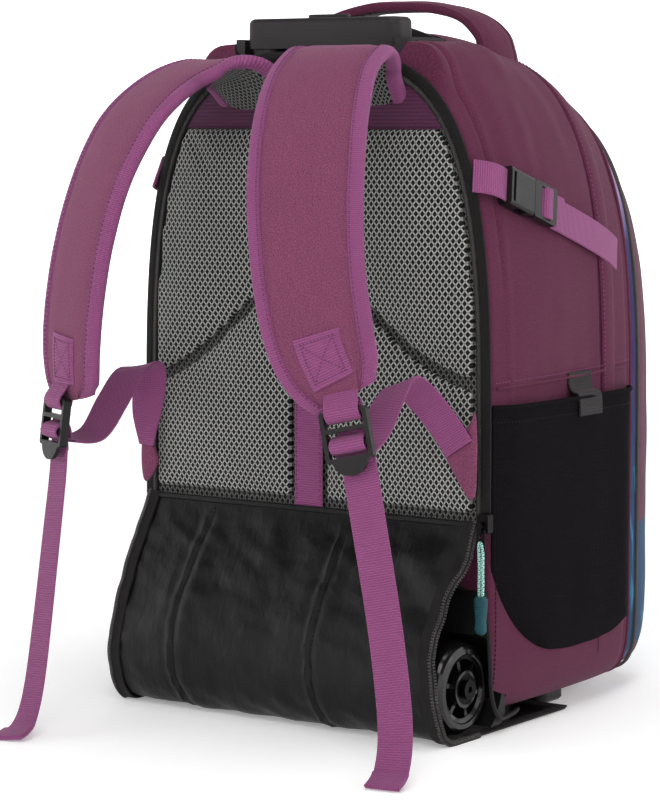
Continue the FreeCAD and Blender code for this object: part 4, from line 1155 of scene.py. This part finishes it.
class BACKPACK_OT_perimeter_zip(Maker):
    """Runs the black zip round the back panel, with its coil"""
    bl_idname = "backpack.perimeter_zip"
    bl_label = "Perimeter zip"

    def make(self, sizes):
        line = panel_line(4.2, BACK_Y - 1.6)
        centre_z, width = 240, 11.5
        inward = unit(np.stack([-line[:, 0], line[:, 0] * 0, centre_z - line[:, 2]], 1))
        rows = np.c_[line, np.full(len(line), width), directions(line, inward)[1]]

        def ring(half, s):
            return [(-half, -0.6), (half, -0.6), (half + 0.4, 0.4), (half - 0.6, 1.3), (half - 1.3, 0.9),
                    (half - 4.3, 0.8), (half - 4.8, 1.9), (half - 6.0, 2.3), (-half + 2.0, 2.0),
                    (-half, 0.9)]

        strip = Strip(rows, 3.0)
        flip = 1
        if strip.out[len(strip.s) // 2][1] > 0:
            strip.side, strip.out, flip = -strip.side, -strip.out, -1

        def facing_ring(half, s):
            return [(a * flip, b) for a, b in ring(half, s)]

        strip_piece("perimeter_zip_tape", strip, facing_ring, ["tape"], slot="zip_tape",
                    replaces=["perimeter_zip"])
        teeth = panel_line(7.2, BACK_Y - 2.6, 1.0)
        coil_piece("perimeter_zip_coil", teeth, sizes.tooth_pitch / MM, 2.9, 1.4, (0, -1, 0),
                   slot="zip_tape")


class BACKPACK_OT_straps(Maker):
    """Makes the padded shoulder straps with bindings, mesh lining, end patches and box stitching"""
    bl_idname = "backpack.straps"
    bl_label = "Shoulder straps"

    def make(self, sizes):
        def ring(half, s):
            upper = [(half - 0.4, 2.0), (half - 2.2, 3.9), (half - 5.5, 5.0), (half - 9.6, 5.1),
                     (half - 10.4, 3.9), (half - 13.5, 4.7), (half * 0.55, 5.7), (half * 0.25, 6.1)]
            lower = [(half * 0.25, -6.1), (half * 0.55, -5.7), (half - 13, -4.9), (half - 10.2, -4.0),
                     (half - 9.6, -4.9), (half - 5.5, -4.8), (half - 2.2, -3.8), (half - 0.4, -2.0),
                     (half, 0.0)]
            right = lower + upper
            return right + [(0, 6.2)] + [(-a, b) for a, b in right[::-1]] + [(0, -6.2)]

        kinds = [2] * 3 + [1] * 10 + [0] * 8 + [1] * 10 + [2] * 5
        for side in ("right", "left"):
            strip = Strip(turn_rows(STRAPS[side]), 3.0)
            seed = 11 if side == "right" else 15

            def ripple(points, rings, made, seed=seed):
                across = rings[..., 0] / np.maximum(np.abs(rings[..., 0]).max(1, keepdims=True), 1)
                wave = 0.8 * roughen(points, 42, seed) + 0.35 * roughen(points * (1, 1, 1.6), 14, seed + 1)
                return wave * (1 - np.abs(across) ** 3) * 0.9

            strap = strip_piece("strap_" + side, strip, ring, ["strap", "binding", "lining_mesh"], kinds, 1,
                                ripple, slot="strap_fabric", replaces=["shoulder_strap_" + side], angle=50.0)
            s = np.arange(4, strip.length - 2, 2.0)
            inset, lift, pitch = 8.4, np.full(len(s), 5.25), sizes.stitch_pitch / MM
            half = np.interp(s, strip.s, strip.width) / 2
            lines = [strip.stitches(s, sign * (half - inset), lift, pitch) for sign in (-1, 1)]
            stitch_piece("strap_stitches_" + side, lines, "web_thread", pitch, slot="purple_webbing")
            self.patch(side, strip)

    def patch(self, side, strip):
        """The square of webbing sewn on the strap's lower end with a crossed box."""
        start, stop = strip.length - 46, strip.length - 12
        part = strip.part(start, stop)
        part.width = np.linspace(33, 31, len(part.s))

        def ring(half, s):
            return [(-half, 4.2), (0, 4.4), (half, 4.2), (half + 0.3, 6.4), (half - 0.6, 7.1),
                    (half * 0.4, 7.7), (0, 7.8), (-half * 0.4, 7.7), (-half + 0.6, 7.1), (-half - 0.3, 6.4)]

        strip_piece("strap_patch_" + side, part, ring, ["webbing"], slot="purple_webbing")
        a, b, w = start + 4, stop - 4, 12.0
        corners = [(a, -w), (b, -w), (b, w), (a, w)]
        runs = [(corners[k], corners[(k + 1) % 4]) for k in range(4)]
        runs += [(corners[0], corners[2]), (corners[1], corners[3])]
        lines = []
        t, pitch = np.linspace(0, 1, 14), 2.6
        for (s0, w0), (s1, w1) in runs:
            across = w0 + (w1 - w0) * t
            lines.append(strip.stitches(s0 + (s1 - s0) * t, across, 7.75 - np.abs(across) * 0.028, pitch))
        stitch_piece("patch_stitches_" + side, lines, "web_thread", pitch, radius=0.5, slot="purple_webbing")


class BACKPACK_OT_webbing(Maker):
    """Threads the webbing of the adjusters, the tails, the gussets and the compression straps"""
    bl_idname = "backpack.webbing"
    bl_label = "Webbing"

    def make(self, sizes):
        for side, sign in SIDES:
            web_piece("lower_web_" + side, LOWER_WEBS[side], 2.0, replaces=["lower_webbing_" + side])
            tail = Strip(TAILS[side], 2.0)

            def ripple(points, rings, made, sign=sign):
                loose = ease(made.s, 20, 70) * (1 - ease(made.s, made.length - 60, made.length - 25))
                return (1.2 * np.sin(made.s / 46.0 + sign) * loose)[:, None] * np.ones(rings.shape[:2])

            obj = strip_piece("tail_" + side, tail, web_ring, ["webbing"], ripple=ripple,
                              slot="purple_webbing", replaces=["strap_tail_" + side])
            end = tail.part(tail.length - 16, tail.length)
            end.width = end.width + 1.0
            fold = strip_piece("tail_end_" + side, end, lambda h, s: web_ring(h, s, 3.4), ["webbing"],
                               slot="purple_webbing")
            fold.location.z = 0.9 * MM
            self.lock_bands(side)
            self.compression(side, sign)
        for side, points in (("right", ((124, 200), (145, 224), (149, 230), (150, 196), (146, 170))),
                             ("left", ((-149, 206), (-138, 188), (-135, 176), (-146, 162), (-150, 176)))):
            rounded = smooth_line(list(points) + [points[0]], 5)[:-1]
            middle = rounded.mean(0)
            layers = ((0, 12.4), (0, 14.2), (0.12, 15.2), (0.5, 15.8))
            verts = [(x + (middle[0] - x) * inset, BACK_Y - lift, z + (middle[1] - z) * inset)
                     for inset, lift in layers for x, z in rounded]
            faces = ring_faces(len(layers), len(rounded))
            uvs = [(verts[q][0] * MM, verts[q][2] * MM) for f in faces for q in f]
            more = {"replaces": ["anchor_gussets"]} if side == "right" else {}
            add_piece("gusset_" + side, verts, faces, ["strap"], None, uvs, slot="strap_fabric", **more)

    def lock_bands(self, side):
        """The two turns of webbing that show between the bars of a strap adjuster."""
        centre, along, across = (np.array(v, float) for v in LOCKS[side])
        along = unit(along)
        across = unit(across - along * (across @ along))
        out = np.cross(along, across)
        for number, path in enumerate((
                ((-31, -2.0), (-25, 1.5), (-18.6, 4.6), (-13.2, 2.2), (-12.0, -2.5), (-16, -5.2),
                 (-25, -5.4)),
                ((17, -6.2), (11.0, -5.0), (9.2, -1.0), (7.5, 3.4), (4.5, 5.0), (1.2, 3.6), (-0.6, 0.2),
                 (-2.0, -3.8), (1, -6.4), (8, -8.2)))):
            rows = [(*(centre + along * a + out * b), 25.0, *across) for a, b in path]
            web_piece(f"lock_band_{side}_{number + 1}", rows, 1.2)

    def compression(self, side, sign):
        """The webbing on both sides of a side-release buckle, its keeper loop and sewn ends."""
        start = np.array(BUCKLE_START)
        along = unit(np.array(BUCKLE_ALONG))
        out = np.array(BUCKLE_OUT)
        out = unit(out - along * (out @ along))
        across = np.cross(out, along)

        for name, width, spacing, more, path in (
                ("socket_web_", 24, 2.0, {"replaces": ["socket_webbing_" + side]},
                 ((-27, -9.5), (-23, -5.5), (-17, -1.4), (-10, 0.6), (-4, 0.8), (0, 0.4), (4, 0.2))),
                ("plug_loop_", 23, 1.5, {"body": "plug_" + side},
                 ((57, -0.8), (54, 1.6), (51.2, 6.4), (48, 6.6), (44.8, 5.8), (42.4, 1.5), (41, -2.2),
                  (48, -4.0), (62, -4.0), (74, -3.8))),
                ("plug_web_", 25, 2.0, {"replaces": ["plug_webbing_" + side]},
                 ((62, -2.4), (74, -2.2), (90, -2.0), (110, -2.4), (130, -3.4), (150, -6.0), (165, -9.6),
                  (172, -12.5), (180, -17))),
                ("keeper_", 27, 1.5, {"body": "plug_" + side}, ((60, -0.2), (68, 0.2), (76, 0.1)))):
            rows = []
            for s, lift in path:
                p = start + along * s + out * lift
                rows.append((sign * p[0], p[1], p[2], width, sign * across[0], across[1], across[2]))
            web_piece(name + side, rows, spacing, **more)


class BACKPACK_OT_wheel_cover(Maker):
    """Hangs the black nylon cover under the wheels, with its darts, hems and side zips"""
    bl_idname = "backpack.wheel_cover"
    bl_label = "Wheel cover"

    def make(self, sizes):
        line, s = evenly(smooth_line(COVER_LINE, 10), 3.0, dims=2)
        normal = unit(np.stack([np.gradient(line[:, 1]), -np.gradient(line[:, 0])], 1))
        columns = np.linspace(-COVER_X, COVER_X, 120)
        n, m = len(line), len(columns)
        grid = np.stack(np.broadcast_arrays(columns[None], line[:, :1], line[:, 1:2]), 2)
        hang = ease(s, 2, 30) * (1 - ease(s, 190, 225))
        under = ease(s, 150, 190)
        dart_left = -87 - 4 * bell(s - 90, 50) + 6 * ease(s, 120, 190)
        dart_right = 36 - 2 * ease(s, 10, 90) + 13 * ease(s, 100, 190)
        waist = 9.0 * bell(line[:, 1] - 78, 34)
        grid[..., 0] -= waist[:, None] * ease(columns, 80, COVER_X)
        xs = grid[..., 0]
        lift = np.zeros((n, m))
        for dart in (dart_left, dart_right):
            past = xs - dart[:, None]
            lift += (1.6 * bell(past, 1.5) - 1.1 * bell(past - 4, 3.0)
                     - 0.7 * bell(past + 5, 4) + 1.2 * bell(past - 11, 7))
        lift += 4.0 * np.cos(xs / COVER_X * 1.2) * np.sin(np.pi * np.clip(s / 190, 0, 1))[:, None]
        lift += 2.6 * roughen(grid * (1.0, 0.6, 0.35), 34, 21)
        lift += 1.3 * roughen(grid * (0.8, 1, 1) + (grid[..., 2:3] * (0.6, 0, 0)), 13, 22)
        pull = ease(xs, 60, 140) * bell(grid[..., 2] - 120, 46)
        lift += 3.4 * pull * np.sin((xs * 0.55 + grid[..., 2] * 1.0) / 9.0 + 1.2 * roughen(grid, 30, 23))
        gather = bell(s - 178, 20)[:, None]
        lift += gather * 0.7 * np.sin(xs / 6.5 + 2.0 * roughen(grid, 24, 24))
        lift *= hang[:, None] * (1 - under[:, None] * 0.8)
        direction = np.stack([np.zeros(n), normal[:, 0], normal[:, 1]], 1)
        if direction[20][1] > 0:
            direction = -direction
        grid += direction[:, None] * lift[..., None]
        grid[..., 2] = np.maximum(grid[..., 2], 0.5)
        verts = np.concatenate([grid.reshape(-1, 3), (grid - direction[:, None] * 1.1).reshape(-1, 3)])
        verts[n * m:, 2] = np.maximum(verts[n * m:, 2], 1.3)
        faces = slab_faces(n, m)
        uvs = [(s[q % (n * m) // m] * MM, columns[q % m] * MM) for face in faces for q in face]
        cover = add_piece("cover_cloth", verts, faces, ["nylon"], None, uvs, slot="black_nylon",
                          replaces=["wheel_cover"])
        for side, sign in SIDES:
            j = m - 1 if sign > 0 else 0
            stop = int(np.searchsorted(s, 205))
            edge = grid[:stop, j] + (sign * 1.0, 0, 0)
            edge[:, 2] = np.maximum(edge[:, 2], 1.6)
            rows = np.c_[edge - (sign * 4.5, 0, 0) + direction[:stop] * 1.0, np.full(stop, 12.0),
                         np.tile((1.0, 0, 0), (stop, 1))]
            web_piece("cover_tape_" + side, rows, 3.0, "tape", "zip_tape")
            coil_piece("cover_coil_" + side, edge + direction[:stop] * 0.4,
                                     sizes.tooth_pitch / MM * 1.15, 4.2, 1.5, (sign * 0.6, -0.8, 0),
                                     slot="zip_tape")
            hem = np.c_[grid[stop - 4:, j] - (sign * 2.5, 0, 0), np.full(n - stop + 4, 9.0),
                        np.tile((1.0, 0, 0), (n - stop + 4, 1))]
            hem[:, 2] = np.maximum(hem[:, 2], 1.4)
            web_piece("cover_hem_" + side, hem, 3.0, "black_piping", "zip_tape")
            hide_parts("cover_zips")
        top = np.c_[grid[1] + (0, -0.4, 0.5), np.full((m, 1), 4.0), np.tile((0.0, 0.3, 1.0), (m, 1))]
        web_piece("cover_top_band", top, 4.0, "nylon", "black_nylon")
        front = grid[-1].copy()
        front[:, 2] = 1.7
        hem_rows = np.c_[front, np.full((m, 1), 11.0), np.tile((0.0, 1.0, 0.0), (m, 1))]
        web_piece("cover_front_hem", hem_rows, 5.0, "black_piping", "zip_tape")
        lines = []
        for dart in (dart_left, dart_right):
            picked = []
            for i in range(3, int(np.searchsorted(s, 200)), 2):
                jj = int(np.clip(np.searchsorted(columns, dart[i] + 3.2), 0, m - 1))
                picked.append(grid[i, jj] + direction[i] * 0.4)
            lines.append((np.array(picked), (0, -1, 0.2)))
        stitch_piece("dart_stitches", lines, "tape", 3.2, radius=0.35, slot="black_nylon")


class BACKPACK_OT_grab_handle(Maker):
    """Sews the padded grab handle on top, with bound edges and a mesh lining"""
    bl_idname = "backpack.grab_handle"
    bl_label = "Grab handle"

    def make(self, sizes):
        rows = [(x, GRAB_Y, z, w, 0, 1, 0) for x, z, w in GRAB_LINE]

        def ring(half, s):
            right = [(half * 0.3, -4.3), (half - 7.0, -3.8), (half - 5.6, -3.0), (half - 5.0, -3.7),
                     (half - 1.4, -3.0), (half, 0), (half - 1.2, 3.0), (half - 5.2, 4.0),
                     (half - 5.8, 3.2), (half - 8, 3.9), (half * 0.3, 4.5)]
            return right + [(-a, b) for a, b in right[::-1]]

        kinds = [1] * 2 + [2] * 6 + [0] * 5 + [2] * 6 + [1] * 3
        handle = strip_piece("top_handle", Strip(rows, 2.5), ring, ["handle", "mesh", "handle"], kinds, 0,
                             lambda p, r, m: 0.5 * roughen(p, 18, 31), slot="body_fabric",
                             replaces=["grab_handle"], angle=50.0)


class BACKPACK_OT_side_pockets(Maker):
    """Sews the stretch side pockets, their elastic hems, the seam above them and the folded tabs"""
    bl_idname = "backpack.side_pockets"
    bl_label = "Side pockets"

    def make(self, sizes):
        line = smooth_line(POCKET_LINE, 8)
        split = int(np.argmin(line[:, 1]))
        back, front = line[:split + 1][::-1], line[split:]
        levels = np.r_[np.linspace(line[:, 1].min() + 0.3, 100, 22), np.linspace(104, POCKET_TOP_Z, 36)]
        columns = 60
        grid = np.zeros((len(levels), columns, 3))
        for i, z in enumerate(levels):
            y0 = np.interp(z, back[:, 1], back[:, 0]) if z < 160 else -108.0
            y1 = np.interp(z, front[:, 1], front[:, 0]) if z < 62 else 88.0
            y0, y1 = max(y0, -104.0), min(y1, 90.0)
            t = np.linspace(0, 1, columns)
            wave = np.cos(np.pi * t)
            ys = y0 + (y1 - y0) * (0.5 - 0.5 * wave * (0.55 + 0.45 * np.abs(wave)))
            for j, y in enumerate(ys):
                edge = min((y - y0) / 22.0, (y1 - y) / 22.0, (z - levels[0]) / 26.0 + 0.02)
                fall = math.sin(min(1.0, max(0.0, edge)) * math.pi / 2) ** 0.8
                open_top = 1.0 + 0.15 * ease(z, 190, 235)
                grid[i, j] = (side_x(y, z) + 0.6 + 7.4 * fall * open_top, y, z)
        grid[..., 0] += 0.9 * roughen(grid * (1, 1, 0.5), 26, 41) * ease(grid[..., 0], 159, 163)
        n, m = grid.shape[:2]
        seam_ys = np.arange(-100, 88, 3.0)
        seam_zs = 247.0 + 0.02 * (seam_ys + 100)
        for side, sign in SIDES:
            outer = grid * (sign, 1, 1)
            inner = outer - (sign * 1.3, 0, 0)
            verts = np.concatenate([outer.reshape(-1, 3), inner.reshape(-1, 3)])
            add_piece("pocket_" + side, verts, slab_faces(n, m), ["stretch"], slot="black_stretch",
                      replaces=["side_pocket_" + side], angle=60.0)
            hem = outer[-1] + (sign * 0.1, 0, -1.0)
            tube_piece("pocket_hem_" + side, hem, 1.8, ["stretch"], spacing=3.0, slot="black_stretch")
            at = outer[int(np.argmin(np.abs(levels - (POCKET_TOP_Z - 13))))] + (sign * 0.25, 0, 0)
            stitch_piece("pocket_stitches_" + side, [(at, (sign, 0, 0))], "tape", 3.0, radius=0.3,
                         slot="black_stretch")
            fold = [(sign * (side_x(6, z) + lift), 6, z, 32, 0, 1, 0) for z, lift in
                    ((252, 1.0), (244, 1.2), (238, 4.5), (237, 9.0), (231, 10.6), (221, 10.8))]
            web_piece("tab_" + side, fold, 1.6, "black_web", "zip_tape", replaces=["pocket_tab_" + side])
            seam, stitches = ([(sign * (side_x(y, z) + 1.0), y, z) for y, z in zip(seam_ys, seam_zs + lift)]
                              for lift in (0.0, 4.0))
            tube_piece("pocket_seam_" + side, seam, 1.1, ["body"], spacing=3.0, slot="body_fabric")
            stitch_piece("pocket_seam_stitches_" + side, [(stitches, (sign, 0, 0))], "thread",
                         sizes.stitch_pitch / MM, radius=0.4, slot="body_fabric")


class BACKPACK_OT_zip_pull(Maker):
    """Ties the mint cord through the zip's tab and moulds the ribbed teal end on it"""
    bl_idname = "backpack.zip_pull"
    bl_label = "Zip pull"

    def make(self, sizes):
        eye = PULL_Z - 11.4
        points = [(-1.35, 0, 98), (-1.35, 0, 104), (-1.5, -0.2, 112), (-1.35, 0.1, 120), (-1.5, 0, 128),
                  (-1.6, -0.4, eye - 1.5), (-0.8, -1.5, eye + 2.4), (0.8, -1.5, eye + 2.4),
                  (1.6, -0.4, eye - 1.5), (1.5, 0, 128), (1.35, -0.1, 120), (1.5, 0.2, 112), (1.35, 0, 104),
                  (1.35, 0, 98)]
        data = bpy.data.curves.new("cord_loop", "CURVE")
        data.dimensions = "3D"
        spline = data.splines.new("NURBS")
        spline.points.add(len(points) - 1)
        for point, (x, y, z) in zip(spline.points, points):
            point.co = ((PULL_X + x) * MM, (PULL_Y + y) * MM, z * MM, 1.0)
        spline.order_u = 3
        spline.use_endpoint_u = True
        spline.resolution_u = 12
        data.bevel_depth = 1.15 * MM
        data.bevel_resolution = 3
        data.materials.append(FINISHES["cord"])
        cord = put("cord_loop", data)
        settle(cord, "zip_pull", "mint_cord", ["pull_cord"])
        verts = []
        sides, levels = 24, np.linspace(0, 27, 55)
        for level in levels:
            z = 103 - level
            round_end = math.sqrt(max(0.02, 1 - (max(0.0, level - 23) / 4.2) ** 2))
            round_end *= 0.8 + 0.2 * min(1, level / 2)
            waist = 1 + 0.12 * math.cos((level - 4) / 27 * 2 * math.pi)
            rib = 0.28 if 4 < level < 21 and int(level / 1.0) % 2 else 0.0
            for q in range(sides):
                a = 2 * math.pi * q / sides
                ca, sa = math.cos(a), math.sin(a)
                x = 4.5 * math.copysign(abs(ca) ** 0.7, ca) * waist * round_end
                y = (3.0 - rib) * math.copysign(abs(sa) ** 0.7, sa) * round_end
                verts.append((PULL_X + x, PULL_Y + y, z))
        grip = add_piece("cord_grip", verts, ring_faces(len(levels), sides), ["rubber"], angle=35.0,
                         body="zip_pull", slot="teal_rubber", replaces=["pull_grip"])
        start = [(PULL_X + points[0][0]) * MM, PULL_Y * MM, points[0][2] * MM]


class BACKPACK_OT_hardware(Maker):
    """Gives the moulded and metal parts their finishes"""
    bl_idname = "backpack.hardware"
    bl_label = "Moulded and metal parts"

    def make(self, sizes):
        finish_of = {
            "frame_board": "board", "base_tray": "plastic", "housing_screws": "steel",
            "front_feet": "plastic", "outer_tubes": "tube", "middle_tubes": "tube", "inner_tubes": "tube",
            "handle_cup": "grip", "grip_body": "grip", "release_button": "plastic",
            "button_spring": "steel", "zip_slider": "zip_metal", "zip_pull_tab": "zip_metal",
        }
        for side, _ in SIDES:
            for node, finish in (("ladder_lock_", "plastic"), ("wheel_housing_", "housing"),
                                 ("axle_", "zip_metal"), ("tyre_", "tyre"), ("wheel_hub_", "hub"),
                                 ("wheel_bearings_", "zip_metal"), ("buckle_socket_", "plastic"),
                                 ("buckle_plug_", "plastic")):
                finish_of[node + side] = finish
        for node, finish in finish_of.items():
            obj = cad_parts[node]
            if not obj.data.materials:
                obj.data.materials.append(None)
            for index in range(len(obj.data.materials)):
                obj.material_slots[index].link = "OBJECT"
                obj.material_slots[index].material = FINISHES[finish]


class BACKPACK_OT_stage(Maker):
    """Sets the pale floor, the soft lights and the camera"""
    bl_idname = "backpack.stage"
    bl_label = "Stage"

    def make(self, sizes):
        g = Graph("pale floor")
        vector, x, y, _ = g.place(False)
        speck = g.noise(vector, 40.0, 3.0)
        far = ((x * x + y * y) ** 0.5).rise(0.9, 3.2)
        white = g.shade((1.0, 1.0, 1.0), far * 0.62 + 0.22)
        g.finish(g.shade(paint(250, 250, 250), speck * 0.02 + 0.99), 0.9, Specular_IOR_Level=0.1,
                 Emission_Color=white, Emission_Strength=1.0)
        profile = [(0.4, 0.0), (1.0, 0.0), (2.0, 0.0), (4.0, 0.0), (6.0, 0.0)] + [
            (6.0 + 2.5 * math.sin(math.radians(a)), 2.5 - 2.5 * math.cos(math.radians(a)))
            for a in range(10, 91, 10)] + [(8.5, 5.0)]
        turns = 64
        verts = [(radius * math.cos(2 * math.pi * q / turns), radius * math.sin(2 * math.pi * q / turns),
                  height - 0.0004) for radius, height in profile for q in range(turns)]
        faces = [(k * turns + q, (k + 1) * turns + q, (k + 1) * turns + (q + 1) % turns,
                  k * turns + (q + 1) % turns) for k in range(len(profile) - 1) for q in range(turns)]
        faces.append(list(range(turns)))
        mesh = bpy.data.meshes.new("floor")
        mesh.from_pydata(verts, [], faces)
        mesh.materials.append(g.material)
        mesh.shade_smooth()
        put("floor", mesh)

        world = bpy.data.worlds.new("soft studio")
        bpy.context.scene.world = world
        world.use_nodes = True
        background = world.node_tree.nodes["Background"]
        background.inputs["Color"].default_value = (0.95, 0.97, 1.0, 1.0)
        background.inputs["Strength"].default_value = 0.08
        bpy.context.scene.view_settings.view_transform = "Standard"
        for name, place, size, power, colour in (
                ("key_light", (1.0, -1.7, 2.3), 1.3, 19.0, (1.0, 0.985, 0.97)),
                ("fill_light", (-1.9, -1.5, 1.5), 1.8, 4.5, (0.97, 0.98, 1.0)),
                ("top_light", (0.2, 0.2, 2.4), 1.8, 20.0, (1.0, 1.0, 1.0)),
                ("rim_light", (2.2, 0.6, 1.6), 1.0, 5.5, (1.0, 0.98, 0.98))):
            data = bpy.data.lights.new(name, "AREA")
            data.shape, data.size, data.energy, data.color = "DISK", size, power, colour
            lamp = put(name, data)
            lamp.location = place
            lamp.rotation_euler = (Vector((0, 0, 0.25)) - Vector(place)).to_track_quat("-Z", "Y").to_euler()

        lens = bpy.data.cameras.new("camera")
        lens.lens, lens.sensor_width = 130.05, 36.0
        lens.dof.use_dof = False
        camera = put("camera", lens)
        camera.location = (1.2282, -1.8066, 0.44)
        camera.rotation_euler = (math.radians(90 - 5.691), 0.0, math.radians(35.5))
        bpy.context.scene.camera = camera


OPERATORS = (BACKPACK_OT_body, BACKPACK_OT_front, BACKPACK_OT_main_zip, BACKPACK_OT_back_panel,
             BACKPACK_OT_perimeter_zip, BACKPACK_OT_straps, BACKPACK_OT_webbing, BACKPACK_OT_wheel_cover,
             BACKPACK_OT_grab_handle, BACKPACK_OT_side_pockets, BACKPACK_OT_zip_pull, BACKPACK_OT_hardware,
             BACKPACK_OT_stage)


class BACKPACK_PT_panel(bpy.types.Panel):
    """Lists the backpack's operators with its sizes and colours"""
    bl_idname = "BACKPACK_PT_panel"
    bl_label = "Wheeled backpack"
    bl_space_type = "VIEW_3D"
    bl_region_type = "UI"
    bl_category = "Backpack"

    def draw(self, context):
        for operator in OPERATORS:
            self.layout.operator(operator.bl_idname)
        for group in (context.scene.bag_sizes, context.scene.bag_colours):
            for name in group.bl_rna.properties.keys():
                if name not in ("rna_type", "name"):
                    self.layout.prop(group, name)


def register():
    for cls in (BagSizes, BagColours, *OPERATORS, BACKPACK_PT_panel):
        bpy.utils.register_class(cls)
    bpy.types.Scene.bag_sizes = bpy.props.PointerProperty(type=BagSizes)
    bpy.types.Scene.bag_colours = bpy.props.PointerProperty(type=BagColours)


def unregister():
    del bpy.types.Scene.bag_sizes
    del bpy.types.Scene.bag_colours
    for cls in (BACKPACK_PT_panel, *reversed(OPERATORS), BagColours, BagSizes):
        bpy.utils.unregister_class(cls)


def main():
    register()
    for operator in OPERATORS:
        group, name = operator.bl_idname.split(".")
        getattr(getattr(bpy.ops, group), name)()


if __name__ == "__main__":
    main()
